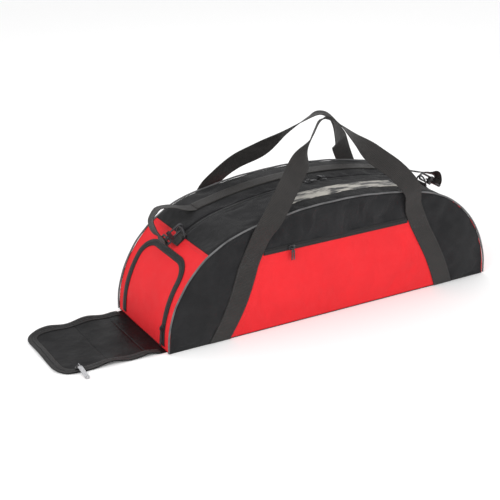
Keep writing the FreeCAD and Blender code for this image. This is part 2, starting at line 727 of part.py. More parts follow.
def ribbon(name, route, width, thickness, steps=2):
    """Webbing along a route of (point, direction across the webbing) pairs, as one solid of flat faces."""
    centres = smooth([Vector(*point) for point, _ in route], steps)
    acrosses = smooth([Vector(*across).normalize() for _, across in route], steps)
    sections = []
    for i, centre in enumerate(centres):
        ahead = centres[min(i + 1, len(centres) - 1)] - centres[max(i - 1, 0)]
        ahead.normalize()
        across = acrosses[i] - ahead * acrosses[i].dot(ahead)
        across.normalize()
        if i in (0, len(centres) - 1):
            across = Vector(*route[0 if i == 0 else -1][1]).normalize()
            ahead = ahead - across * ahead.dot(across)
            ahead.normalize()
        face = ahead.cross(across) * (thickness / 2)
        side = across * (width / 2)
        sections.append([centre + side + face, centre - side + face, centre - side - face, centre + side - face])
    faces = [flat_face(sections[0][::-1]), flat_face(sections[-1])]
    for here, there in zip(sections, sections[1:]):
        for i in range(4):
            a, b, c, d = here[i], here[(i + 1) % 4], there[(i + 1) % 4], there[i]
            # The two broad faces are split along the same diagonal, so a twist keeps its thickness.
            halves = ([a, b, d], [b, c, d]) if i == 2 else ([a, b, c], [a, c, d])
            faces.extend(flat_face(half) for half in halves)
    thing = doc.addObject("Part::Feature", name)
    thing.Shape = Part.Solid(Part.Shell(faces))
    return thing


def flat_face(corners):
    return Part.Face(Part.makePolygon(corners + corners[:1]))


HANDLE_FOOT = 213.0     # just above the sewn straps' tops


def handles():
    """The free loops of the two carry handles, leaning together over the bag."""
    slope = math.radians(LEAN)
    foot_z = HANDLE_FOOT - 15.0
    foot_x = S["seam_foot"].value - foot_z * math.tan(slope)
    flat_left = (math.cos(slope), 0, -math.sin(slope))
    flat_right = (math.cos(slope), 0, math.sin(slope))
    foot_y = (HALF_WIDTH + WEBBING_THICK).value + 1.5
    front = [
        ((-foot_x, -foot_y, foot_z), flat_left),
        ((-222, -foot_y, 229), flat_left),
        ((-212, -149, 253), flat_left),
        ((-190, -155, 287), (0.88, 0.04, -0.46)),
        ((-140, -130, 333), (0.72, 0.38, -0.56)),
        ((-85, -89, 370), (0.48, 0.66, -0.58)),
        ((-33, -59, 415), (0.34, 0.78, -0.52)),
        ((4, -36, 449), (0.34, 0.84, -0.42)),
        ((33, -27, 460), (0.36, 0.86, -0.36)),
        ((66, -34, 443), (0.44, 0.84, -0.25)),
        ((104, -54, 404), (0.58, 0.74, -0.02)),
        ((143, -82, 364), (0.76, 0.42, 0.36)),
        ((176, -127, 332), (0.84, 0.12, 0.46)),
        ((206, -155, 288), (0.88, 0.0, 0.45)),
        ((216, -149, 253), flat_right),
        ((222, -foot_y, 229), flat_right),
        ((foot_x, -foot_y, foot_z), flat_right),
    ]
    back = [
        ((-foot_x, foot_y, foot_z), flat_left),
        ((-222, foot_y, 229), flat_left),
        ((-212, 149, 253), flat_left),
        ((-188, 155, 288), (0.87, -0.04, -0.48)),
        ((-140, 130, 332), (0.64, -0.33, -0.62)),
        ((-84, 88, 369), (0.5, 0.2, -0.72)),
        ((-34, 57, 411), (0.42, 0.7, -0.5)),
        ((8, 34, 442), (0.36, 0.84, -0.32)),
        ((44, 28, 455), (0.32, 0.9, -0.2)),
        ((80, 35, 440), (0.3, 0.9, 0.1)),
        ((112, 54, 404), (0.5, 0.72, 0.42)),
        ((146, 84, 362), (0.72, 0.42, 0.52)),
        ((176, 127, 331), (0.84, -0.05, 0.5)),
        ((206, 155, 288), (0.88, 0.0, 0.46)),
        ((216, 149, 253), flat_right),
        ((222, foot_y, 229), flat_right),
        ((foot_x, foot_y, foot_z), flat_right),
    ]
    for label, route in (("front_handle", front), ("back_handle", back)):
        loop = ribbon(label + "_loop", route, WEBBING.value, WEBBING_THICK.value)
        below = box(label + "_below", REACH, REACH, HANDLE_FOOT, (-REACH / 2, -REACH / 2, 0.0))
        keep(cut(label, loop, below), label)


STRAP_Y = 64.0
STRAP_LIFT = SKIN_GAP + WEBBING_THICK
STRAP_LEFT = 108.6      # the angle on the left end arc where the strap leaves the fabric
STRAP_RIGHT_X = 232.0


def shoulder_strap():
    """The shoulder strap where it lies along the top, with its adjuster."""
    keep(arch_band("shoulder_strap", STRAP_LIFT, WEBBING_THICK, STRAP_LEFT, top_angle(STRAP_RIGHT_X),
                   STRAP_Y + STRAP_WIDTH / 2, STRAP_WIDTH), "shoulder_strap")
    plate = arc_band("adjuster_plate", 0.0, TOP_Z, TOP_RADIUS + STRAP_LIFT + 2.5, 2.5, top_angle(196.0), 1.5,
                     STRAP_Y + 24.0, 48.0)
    slots = [arc_band(f"adjuster_slot_{x}", 0.0, TOP_Z, TOP_RADIUS + STRAP_LIFT + 4.0, 3.0, top_angle(x), 0.25,
                      STRAP_Y + 20.0, 40.0) for x in (177.0, 191.0)]
    keep(cut("strap_adjuster", plate, fuse("adjuster_slots", slots)), "strap_adjuster")


# ---------------------------------------------------------------- D-rings and snap hooks

RING_STAND = 5.6        # the ring's straight bar above the fabric
HOOK_REACH = 34.0       # from the swivel to the middle of the hook's bend
HOOK_SLOPE = 32.0       # the hanging hook, in degrees below level
GATE_PIVOT = HOOK_REACH - 5.6


def rotated_y(angle):
    """Turns X towards +Z by angle degrees."""
    return Rotation(Vector(0, 1, 0), -angle)


def mirrored(side, turn_angle):
    """The turn about Y for the left end (side -1) or its mirror image (side 1)."""
    return rotated_y(turn_angle) if side > 0 else rotated_y(180 - turn_angle)


def ring_anchor(side):
    """The middle of the ring's straight bar, over the border seam."""
    angle = math.radians(180 - BORDER_ANGLE)
    out = END_RADIUS.value + RING_STAND
    return Vector(side * (END_X.value + out * math.cos(angle)), 0, SIDE_RISE.value + out * math.sin(angle))


def ring_set(word, side):
    """Tab, D-ring, snap hook, gate and swivel loop at one end of the bag."""
    anchor = ring_anchor(side)
    wire, ring = S["ring_wire"], S["ring_radius"]
    # Tab: webbing wrapped round the bar and sewn down on the seam.
    angle = 180 - BORDER_ANGLE
    tab_turn = mirrored(side, angle - 90)
    tab_out = wire.value + 0.3
    sleeve = cut("ring_tab_" + word + "_sleeve",
                 cylinder("ring_tab_outer_" + word, tab_out + 1.6, STRAP_WIDTH - 4.0,
                          (0.0, STRAP_WIDTH / 2 - 2.0, 0.0), ALONG_Y),
                 cylinder("ring_tab_inner_" + word, tab_out, STRAP_WIDTH, (0.0, STRAP_WIDTH / 2, 0.0), ALONG_Y))
    keep(place(sleeve, (anchor.x, anchor.y, anchor.z), tab_turn), "ring_tab_" + word)

    # D-ring: a straight bar and a half circle, standing upright over the seam.
    span = ring.value
    bow = Part.Arc(Vector(0, -span, 0), Vector(0, 0, span), Vector(0, span, 0))
    arc = cord("ring_arc_" + word, [bow], wire.value, 10)
    bar = cylinder("ring_bar_" + word, wire, 2 * (ring + wire), (0.0, ring + wire, 0.0), ALONG_Y)
    keep(place(fuse("d_ring_" + word, [arc, bar]), (anchor.x, anchor.y, anchor.z)), "d_ring_" + word)

    # Snap hook, in a frame whose X runs from the hook's bend down to the swivel.
    hook_wire, bend = S["hook_wire"], S["hook_bend"]
    clear = 0.4
    hang_turn = mirrored(side, -HOOK_SLOPE)
    reach = bend.value - hook_wire.value - wire.value - clear
    top = anchor + Vector(0, 0, ring.value) + hang_turn.multVec(Vector(reach, 0, 0))
    across = Rotation(Vector(1, 0, 0), 90)
    along = Rotation(Vector(0, 1, 0), 90)
    curl = half_ring("hook_curl_" + word, bend, hook_wire, (0.0, 0.0, 0.0),
                     across.multiply(Rotation(Vector(0, 0, 1), 90)))
    back = cylinder("hook_back_" + word, hook_wire, HOOK_REACH - 8.0, (0.0, 0.0, bend), along)
    nose = cylinder("hook_nose_" + word, hook_wire, 4.0, (0.0, 0.0, -bend), along)
    head = box("hook_head_" + word, 9.0, 11.0, 2 * bend + 2 * hook_wire,
               (HOOK_REACH - 9.0, -5.5, -bend - hook_wire))
    barrel = cylinder("hook_barrel_" + word, 3.0, 8.0, (HOOK_REACH, 0.0, 0.0), along)
    flange = cylinder("hook_flange_" + word, 5.0, 2.0, (HOOK_REACH + 8.0, 0.0, 0.0), along)
    notch = box("hook_notch_" + word, 7.0, 6.6, 9.0, (HOOK_REACH - 9.5, -3.3, -bend - hook_wire - 2.0))
    solid = fuse("hook_solid_" + word, [curl, back, nose, head, barrel, flange])
    keep(place(cut("snap_hook_" + word, solid, notch), (top.x, top.y, top.z), hang_turn), "snap_hook_" + word)

    # Gate: the sprung bar that closes the hook's mouth, turning in the head.
    gate_low = 4.4
    gate = fuse("gate_solid_" + word, [
        cylinder("gate_bar_" + word, 2.2, GATE_PIVOT - gate_low, (gate_low, 0.0, -bend), along),
        cylinder("gate_knuckle_" + word, 2.6, 6.0, (GATE_PIVOT, 3.0, -bend), across),
    ])
    keep(place(gate, (top.x, top.y, top.z), hang_turn), "hook_gate_" + word)

    # Swivel loop: turns on the barrel and holds the strap's end.
    loop_wide = STRAP_WIDTH + 8.0
    collar_at = HOOK_REACH + 1.0
    outer = box("loop_outer_" + word, 17.0, loop_wide, 4.0, (collar_at, -loop_wide / 2, -2.0))
    window = box("loop_window_" + word, 9.0, STRAP_WIDTH + 1.0, 6.0,
                 (collar_at + 5.0, -STRAP_WIDTH / 2 - 0.5, -3.0))
    collar = cylinder("loop_collar_" + word, 5.4, 5.0, (collar_at, 0.0, 0.0), along)
    bore = cylinder("loop_bore_" + word, 3.2, 12.0, (HOOK_REACH - 2.0, 0.0, 0.0), along)
    frame = cut("loop_frame_" + word, fuse("loop_solid_" + word, [outer, collar]), window)
    loop = cut("loop_bored_" + word, frame, bore)
    keep(place(loop, (top.x, top.y, top.z), hang_turn), "hook_swivel_" + word)
    return top + hang_turn.multVec(Vector(collar_at + 15.5, 0, 0)), hang_turn


def strap_ends():
    """The strap's loose runs: a hump off the top of the bag, then down to the swivel's far bar."""
    lift = (STRAP_LIFT - WEBBING_THICK / 2).value
    level = (0, 1, 0)
    humps = {
        "left": [((-312, 63, 265), level), ((-346, 60, 277), (0.3, 0.9, -0.2)),
                 ((-381, 58, 281), (0.44, 0.84, -0.3)), ((-403, 56, 270), (0.46, 0.84, -0.25)),
                 ((-415, 42, 256), (0.4, 0.9, -0.1)), ((-413, 19, 244), (0.15, 0.98, 0.05))],
        "right": [((264, 62, 278), level), ((292, 60, 287), level), ((324, 55, 281), level),
                  ((357, 46, 265), (-0.15, 0.98, 0)), ((389, 35, 252), (-0.2, 0.97, 0.05)),
                  ((407, 16, 243), (-0.1, 0.99, 0))],
    }
    for word, side in (("left", -1), ("right", 1)):
        bar, turn = ring_set(word, side)
        if side < 0:
            angle = math.radians(STRAP_LEFT + 0.12)
            centre = Vector(-END_X.value, STRAP_Y, SIDE_RISE.value)
            out = END_RADIUS.value + lift
        else:
            angle = math.radians(top_angle(STRAP_RIGHT_X + 0.6))
            centre = Vector(0, STRAP_Y, TOP_Z.value)
            out = TOP_RADIUS.value + lift
        radial = Vector(math.cos(angle), 0, math.sin(angle))
        ahead = Vector(radial.z, 0, -radial.x) * side
        first = centre + radial * (out + 0.3)
        near = first + ahead * 10.0 + Vector(0, 0, 1.5)
        end = bar + turn.multVec(Vector(0, 0, side * 2.4))
        before = bar + turn.multVec(Vector(0, 0, side * 14.0))
        route = [(first, level), (near, level)] + humps[word] + [(before, level), (end, level)]
        keep(ribbon("strap_slack_" + word, route, STRAP_WIDTH.value, WEBBING_THICK.value), "strap_slack_" + word)


base()
side_walls()
end_gusset("gusset_left_end", -1)
end_gusset("gusset_right_end", 1)
top_gusset()
piping("piping_front", -1)
piping("piping_back", 1)
end_zip()
flap()
main_sliders()
pocket_zip()
end_slider()
flap_slider()
for word, side_x in (("left", -1), ("right", 1)):
    sewn_strap("front_strap_" + word, side_x, -1)
    sewn_strap("back_strap_" + word, side_x, 1)
handles()
shoulder_strap()
strap_ends()


def export():
    """Writes one STEP file for each finished sub-part, after checking that every one is a sound solid."""
    doc.recompute()
    for thing in doc.Objects:
        if any(word in thing.State for word in ("Invalid", "Error")):
            raise RuntimeError(f"{thing.Name} did not build: {thing.State}")
    os.makedirs("parts", exist_ok=True)
    for thing in finished:
        shape = thing.Shape
        if shape.isNull() or not shape.isValid() or not shape.Solids:
            raise RuntimeError(f"{thing.Label} is not a valid solid")
        shape.exportStep(f"parts/{thing.Label}.step")
        span = shape.BoundBox
        print(f"{thing.Label:22s} {len(shape.Solids)} solid(s) {shape.Volume:10.0f} mm3  "
              f"x {span.XMin:7.1f} {span.XMax:7.1f}  y {span.YMin:7.1f} {span.YMax:7.1f}  "
              f"z {span.ZMin:6.1f} {span.ZMax:6.1f}")
    print(len(finished), "sub-parts")


export()
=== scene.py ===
import math

import bpy
import numpy as np
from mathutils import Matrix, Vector
from mathutils.bvhtree import BVHTree


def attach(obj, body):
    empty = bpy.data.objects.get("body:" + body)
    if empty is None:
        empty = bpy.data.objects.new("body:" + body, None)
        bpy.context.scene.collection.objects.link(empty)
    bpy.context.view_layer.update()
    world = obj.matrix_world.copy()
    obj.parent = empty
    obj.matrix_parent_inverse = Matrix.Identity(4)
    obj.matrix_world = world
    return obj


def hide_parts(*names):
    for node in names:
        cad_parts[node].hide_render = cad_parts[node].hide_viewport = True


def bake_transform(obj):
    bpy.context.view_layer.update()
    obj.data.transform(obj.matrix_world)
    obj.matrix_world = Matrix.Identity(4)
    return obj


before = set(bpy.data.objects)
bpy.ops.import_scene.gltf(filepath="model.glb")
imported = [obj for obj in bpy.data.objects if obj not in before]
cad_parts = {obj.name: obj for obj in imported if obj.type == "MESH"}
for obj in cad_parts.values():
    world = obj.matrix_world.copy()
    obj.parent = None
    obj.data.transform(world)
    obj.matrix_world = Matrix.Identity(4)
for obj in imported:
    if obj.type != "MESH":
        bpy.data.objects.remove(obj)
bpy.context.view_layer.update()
scene = bpy.context.scene

# Everything is in metres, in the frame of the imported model: the bag's base is centred on the origin, its
# length runs along X, the zipped pocket is on the -Y side and the open flap at the -X end.

MM = 0.001
END_X, END_R, SIDE_RISE = 0.197, 0.260, 0.010
TOP_R, TOP_Z = 1.15302, -0.86102
HALF_LENGTH, HALF_WIDTH = 0.457, 0.140
JOIN = math.asin(END_X / (TOP_R - END_R))       # where the top arc meets the end arc, from the crest
S_JOIN = TOP_R * JOIN
S_FOOT = S_JOIN + END_R * (math.pi / 2 - JOIN)  # distance along the arch from its crest to z = SIDE_RISE
BORDER = 0.248                                  # height of the red end panel, along the end arc
S_BORDER = S_FOOT - BORDER
HINGE_X = -0.471
FLAP_LENGTH, FLAP_HALF, FLAP_CORNER = 0.246, 0.127, 0.045
FLAP_FOLDS = [0.0, 0.0652, 0.1817]              # where it bends, from its hinge
FLAP_SLIDER = (0.200, -0.103)                   # distance from the hinge, and y
LEAN = math.atan(120 / 262)
SEAM_FOOT = 0.327                  # half the distance between the slanted seams, at the base
BELLY, BELLY_TOP = 0.012, 0.172     # how far the side walls swell out, and how high up
REACH = 0.02        # how far above or below a surface its cloth is looked for
CLOTH = 0.0016      # thickness of the walls and the flap
PIPING_OUT = 0.0018  # how far the piping's middle stands off the arch and the walls
HANDLE_WIDTH, STRAP_WIDTH = 0.050, 0.038


# ------------------------ surfaces that pieces are laid on


def meet(u, v):
    """Both as arrays of numbers in one shape, such as a row and a column in that of their grid."""
    return np.broadcast_arrays(np.asarray(u, float), np.asarray(v, float))


def arch_surface(s, y, lift=0.0):
    """The top and ends: s is the distance along the arch from its crest, positive towards +X."""
    s, y = meet(s, y)
    side = np.where(s < 0, -1.0, 1.0)
    run = np.abs(s)
    top_angle = run / TOP_R
    end_angle = np.minimum(JOIN + (run - S_JOIN) / END_R, math.pi / 2)
    on_top = run < S_JOIN
    x = np.where(on_top, (TOP_R + lift) * np.sin(top_angle), END_X + (END_R + lift) * np.sin(end_angle))
    z = np.where(on_top, TOP_Z + (TOP_R + lift) * np.cos(top_angle),
                 SIDE_RISE + (END_R + lift) * np.cos(end_angle))
    z = np.where(run > S_FOOT, SIDE_RISE - (run - S_FOOT), z)
    return np.stack([side * x, y, z], -1)


def seam_x(z):
    """Half the distance between the slanted seams at a height."""
    return SEAM_FOOT - np.asarray(z, float) * math.tan(LEAN)


def arch_x(z):
    """Half the arch's length at a height."""
    z = np.asarray(z, float)
    join_z = SIDE_RISE + END_R * math.cos(JOIN)
    end = END_X + np.sqrt(np.maximum(END_R ** 2 - (np.maximum(z, SIDE_RISE) - SIDE_RISE) ** 2, 0))
    top = np.sqrt(np.maximum(TOP_R ** 2 - (z - TOP_Z) ** 2, 0))
    return np.where(z > join_z, top, end)


def belly(x, z):
    """How far the side wall swells out: most halfway up its belly, and nothing at the pocket's zipper."""
    rise = np.clip(np.asarray(z, float) / BELLY_TOP, 0, 1)
    inside = np.clip((arch_x(z) - np.abs(x)) / 0.12, 0, 1)
    return BELLY * np.sin(math.pi * rise) * inside * inside * (3 - 2 * inside)


def wall_surface(side):
    """The side wall: u is along X and v is the height."""
    def surface(x, z, lift=0.0):
        x, z = meet(x, z)
        return np.stack([x, side * (HALF_WIDTH + lift + belly(x, z)), z], -1)
    return surface


def flap_ripple(d, y):
    """Height of the waves in the flap's edges, none of them under its slider."""
    edge = np.clip(np.abs(y) / 0.12, 0, 1) ** 4
    end = np.clip((d - 0.17) / 0.08, 0, 1) ** 2
    near = 0.0036 * edge * (1 + np.sin(d * 62 + np.where(y < 0, 0.4, 2.6))) * np.clip(d / 0.03, 0, 1)
    far = 0.0014 * end * (1 + np.sin(y * 48 + 1.0))
    swell = 0.0016 * (1 + np.sin(d * 24 + 0.5) * np.cos(y * 17)) * np.clip(d / 0.05, 0, 1)
    beside = np.maximum(np.abs(d - FLAP_SLIDER[0]) - 0.020, 0)
    calm = 1 - np.exp(-(beside ** 2 + (y - FLAP_SLIDER[1]) ** 2) / 0.026 ** 2)
    return (near + far + swell) * calm


def flap_surface(d, y, lift=0.0):
    """The flap lying on the floor: d is the distance from its hinge, negative over the bag's tongue."""
    d, y = meet(d, y)
    return np.stack([HINGE_X - d, y, 0.0018 + flap_ripple(d, y) + lift], -1)


def flap_half(d):
    """Half the flap's width at a distance from its hinge."""
    return FLAP_HALF - 0.010 * np.clip(d, 0, FLAP_LENGTH) / FLAP_LENGTH


# ------------------------ mesh building


def mesh_object(name, points, faces, uv, look):
    """A smooth-shaded mesh finished with one of the MATERIALS; its uv is in metres, as the weaves are."""
    mesh = bpy.data.meshes.new(name)
    mesh.from_pydata([tuple(map(float, p)) for p in points], [], faces)
    layer = mesh.uv_layers.new(name="UVMap")
    corner = np.zeros(len(mesh.loops), np.int32)
    mesh.loops.foreach_get("vertex_index", corner)
    layer.data.foreach_set("uv", np.asarray(uv, np.float32)[corner].ravel())
    mesh.polygons.foreach_set("use_smooth", [True] * len(mesh.polygons))
    mesh.materials.append(MATERIALS[look])
    piece = bpy.data.objects.new(name, mesh)
    scene.collection.objects.link(piece)
    return piece


def quads(rows, columns):
    """The four-cornered faces between the points of a grid."""
    first = [i * columns + j for i in range(rows - 1) for j in range(columns - 1)]
    return [(a, a + 1, a + columns + 1, a + columns) for a in first]


def grid(name, points, uv, outward, look):
    """A sheet from a rows x columns array of points, turned so that its normals point outward."""
    points = np.asarray(points, float)
    rows, columns = points.shape[:2]
    across = points[rows // 2, columns // 2] - points[rows // 2, columns // 2 - 1]
    down = points[rows // 2, columns // 2] - points[rows // 2 - 1, columns // 2]
    flip = np.dot(np.cross(across, down), np.asarray(outward, float)) < 0
    faces = [quad[::-1] if flip else quad for quad in quads(rows, columns)]
    piece = mesh_object(name, points.reshape(-1, 3), faces, np.asarray(uv, float).reshape(-1, 2), look)
    piece["rows"], piece["columns"] = rows, columns
    return piece


def patch(name, surface, u, v, outward, look, lift=0.0):
    """A sheet laid on a surface at the places that a row of u and a column of v cross."""
    u, v = meet(u, v)
    return grid(name, surface(u, v, lift), np.stack([u, v], -1), outward, look)


def thicken(piece, thickness, smooth=1, offset=-1.0):
    """Rounds a sheet off and gives it a thickness, inward unless offset says otherwise."""
    if smooth:
        soften = piece.modifiers.new("Soften", "SUBSURF")
        soften.levels = smooth
        soften.render_levels = smooth
        soften.boundary_smooth = "PRESERVE_CORNERS"
    shell = piece.modifiers.new("Thickness", "SOLIDIFY")
    shell.thickness = thickness
    shell.offset = offset
    return piece


def distance_run(path):
    """How far along the path each of its points lies."""
    return np.concatenate([[0], np.cumsum(np.linalg.norm(np.diff(path, axis=0), axis=1))])


def heading(path):
    """The direction of travel at each point of a path."""
    ahead = np.gradient(path, axis=0)
    return ahead / np.linalg.norm(ahead, axis=1)[:, None]


def resample(path, pitch):
    """Points at even spacing along a path, with the direction and the distance run at each."""
    path = np.asarray(path, float)
    run = distance_run(path)
    count = max(2, int(round(run[-1] / pitch)) + 1)
    at = np.linspace(0, run[-1], count)
    points = np.stack([np.interp(at, run, path[:, k]) for k in range(path.shape[1])], -1)
    return points, heading(points), at


def lift_over(under, surface, u, v, least):
    """How high over a surface a point must be to clear the cloth pieces that lie on it."""
    depth = bpy.context.evaluated_depsgraph_get()
    trees = [BVHTree.FromObject(piece, depth) for piece in under]
    base, tip = surface(u, v, 0.0), surface(u, v, REACH)
    found = np.full(base.shape[:-1], -REACH)
    for at in np.ndindex(found.shape):
        start, toward = Vector(tip[at]), Vector(base[at] - tip[at]).normalized()
        for tree in trees:
            distance = tree.ray_cast(start, toward, 2 * REACH)[3]
            if distance is not None:
                found[at] = max(found[at], REACH - distance)
    return np.maximum(found + 0.0004, least)


def strip_on(name, surface, path, width, lift, thickness, outward, look, columns=5, pitch=0.005,
             under=()):
    """A flat strip of tape laid on a surface along a path, and over any cloth pieces under it."""
    points, ahead, run = resample(path, pitch)
    side = np.stack([-ahead[:, 1], ahead[:, 0]], -1)
    across = np.linspace(-width / 2, width / 2, columns)
    flat = points[:, None, :] + side[:, None, :] * across[None, :, None]
    uv = np.stack(meet(across[None, :], run[:, None]), -1)
    if under:
        highest = lift_over(under, surface, flat[..., 0], flat[..., 1], lift).max(axis=1)
        widest = np.max([np.roll(highest, k) for k in (-2, -1, 0, 1, 2)], axis=0)
        lift = np.convolve(np.pad(widest, 3, "edge"), np.ones(7) / 7, "valid")[:, None]
    piece = grid(name, surface(flat[..., 0], flat[..., 1], lift), uv, outward, look)
    return thicken(piece, thickness, smooth=0, offset=1.0)


def studs_on(name, surface, paths, pitch, across, along, height, lift, look, taper=0.7, under=()):
    """Small raised blocks in a row: zipper coils, or the stitches of a seam."""
    corners = [(-1, -1), (1, -1), (1, 1), (-1, 1)]
    points, faces, uvs = [], [], []
    for path in paths:
        centre, ahead, _ = resample(path, pitch)
        side = np.stack([-ahead[:, 1], ahead[:, 0]], -1)
        bases = np.full(len(centre), lift)
        if under:
            bases = lift_over(under, surface, centre[:, 0], centre[:, 1], -0.01)
        for p, t, n, base in zip(centre, ahead, side, bases):
            first = len(points)
            for level, share in ((base, 1.0), (base + height, taper)):
                for a, b in corners:
                    q = p + n * (a * across / 2 * share) + t * (b * along / 2 * share)
                    points.append(surface(q[0], q[1], level))
                    uvs.append((a * across / 2, b * along / 2))
            faces.append(tuple(first + k for k in (4, 5, 6, 7)))
            for k in range(4):
                m = (k + 1) % 4
                faces.append((first + k, first + m, first + 4 + m, first + 4 + k))
    piece = mesh_object(name, points, faces, uvs, look)
    piece.data.polygons.foreach_set("use_smooth", [False] * len(piece.data.polygons))
    return piece


def smooth_curve(points, steps):
    """Points on a smooth curve through the given ones, steps to each span."""
    points = [np.asarray(p, float) for p in points]
    ends = [points[0] * 2 - points[1]] + points + [points[-1] * 2 - points[-2]]
    found = []
    for a, b, c, d in zip(ends, ends[1:], ends[2:], ends[3:]):
        for i in range(steps):
            t = i / steps
            found.append((b * 2 + (c - a) * t + (a * 2 - b * 5 + c * 4 - d) * t ** 2
                          + (b * 3 - a - c * 3 + d) * t ** 3) * 0.5)
    return np.array(found + [points[-1]])


def webbing_grid(route, width, steps):
    """Rows of points across a strap that follows (point in mm, direction across it) pairs."""
    centre = smooth_curve([np.array(p, float) * MM for p, _ in route], steps)
    across = smooth_curve([np.array(a, float) / np.linalg.norm(a) for _, a in route], steps)
    ahead = heading(centre)
    across -= ahead * np.sum(across * ahead, axis=1)[:, None]
    across /= np.linalg.norm(across, axis=1)[:, None]
    shares = np.array([-1, -0.93, -0.6, -0.2, 0.2, 0.6, 0.93, 1.0]) * width / 2
    points = centre[:, None, :] + across[:, None, :] * shares[None, :, None]
    uv = np.stack(meet(shares[None, :], distance_run(centre)[:, None]), -1)
    return points, uv


def webbing(name, points, uv, look, thickness=0.002):
    normal = np.cross(points[1, 1] - points[1, 0], points[1, 1] - points[0, 1])
    piece = grid(name, points, uv, normal, look)
    return thicken(piece, thickness, smooth=1, offset=0.0)


# ------------------------ cloth


def settle(piece, outward_push, spare, pinned, cap, frames=24, stiffness=12.0):
    """Lets a sheet billow and crease between its pinned edges, then keeps the shape it took."""
    mesh = piece.data
    rest = np.zeros(len(mesh.vertices) * 3)
    mesh.vertices.foreach_get("co", rest)
    rest = rest.reshape(-1, 3)
    group = piece.vertex_groups.new(name="pinned")
    group.add([int(i) for i in pinned], 1.0, "ADD")
    modifier = piece.modifiers.new("Cloth", "CLOTH")
    cloth = modifier.settings
    cloth.quality = 5
    cloth.mass = 0.15
    cloth.vertex_group_mass = "pinned"
    cloth.tension_stiffness = stiffness
    cloth.compression_stiffness = stiffness
    cloth.shear_stiffness = stiffness / 2
    cloth.bending_stiffness = 0.15
    cloth.use_pressure = True
    cloth.uniform_pressure_force = outward_push
    cloth.shrink_min = -spare
    cloth.effector_weights.gravity = 0
    modifier.point_cache.frame_start = 1
    modifier.point_cache.frame_end = frames
    for number in range(1, frames + 1):
        scene.frame_set(number)
    shaped = piece.evaluated_get(bpy.context.evaluated_depsgraph_get())
    found = np.zeros(len(mesh.vertices) * 3)
    shaped.data.vertices.foreach_get("co", found)
    move = found.reshape(-1, 3) - rest
    size = np.linalg.norm(move, axis=1)[:, None]
    kept = np.minimum(cap * np.tanh(size / cap), size)
    move *= np.where(size > 1e-9, kept / np.maximum(size, 1e-9), 1.0)
    piece.modifiers.remove(modifier)
    mesh.vertices.foreach_set("co", (rest + move).ravel())
    mesh.update()
    scene.frame_set(1)


def border_of(piece):
    """The points along the four edges of a grid."""
    rows, columns = piece["rows"], piece["columns"]
    found = set()
    for i in range(rows):
        found.update((i * columns, i * columns + columns - 1))
    for j in range(columns):
        found.update((j, (rows - 1) * columns + j))
    return sorted(found)


def held_by_seams(piece):
    """The edges of a wall panel and all that lies under a sewn strap or the pocket's zipper."""
    found = set(border_of(piece))
    for vertex in piece.data.vertices:
        gap = abs(abs(vertex.co.x) - seam_x(vertex.co.z)) * math.cos(LEAN)
        under_strap = gap < HANDLE_WIDTH / 2 + 0.0035 and vertex.co.z < 0.26
        at_zipper = 0.189 < vertex.co.z < 0.209 and abs(vertex.co.x) < 0.21
        if under_strap or at_zipper:
            found.add(vertex.index)
    return sorted(found)


def cut_size(piece):
    """The width, length and area of the flat cut that a laid-out grid of cloth was made from."""
    rows, columns = piece["rows"], piece["columns"]
    points = np.array([vertex.co for vertex in piece.data.vertices]).reshape(rows, columns, 3)
    width = np.linalg.norm(np.diff(points, axis=1), axis=2).sum(axis=1).max()
    length = np.linalg.norm(np.diff(points, axis=0), axis=2).sum(axis=0).max()
    area = sum(face.area for face in piece.data.polygons)
    return (float(width), float(length)), float(min(area, width * length))


def bag_cloth(piece, slot, node, thickness=CLOTH, smooth=1, shape=None):
    """Measures a piece's flat cut, shapes it where asked, then gives it its thickness and its place."""
    cut = cut_size(piece)
    if shape:
        shape(piece)
    thicken(piece, thickness, smooth)
    finish_piece(piece, "bag", slot, node)


def push(piece, amount):
    """Moves each point along its normal by amount(point)."""
    mesh = piece.data
    normals = [v.normal.copy() for v in mesh.vertices]
    for vertex, normal in zip(mesh.vertices, normals):
        vertex.co += normal * amount(vertex.co)
    mesh.update()


# ------------------------ materials


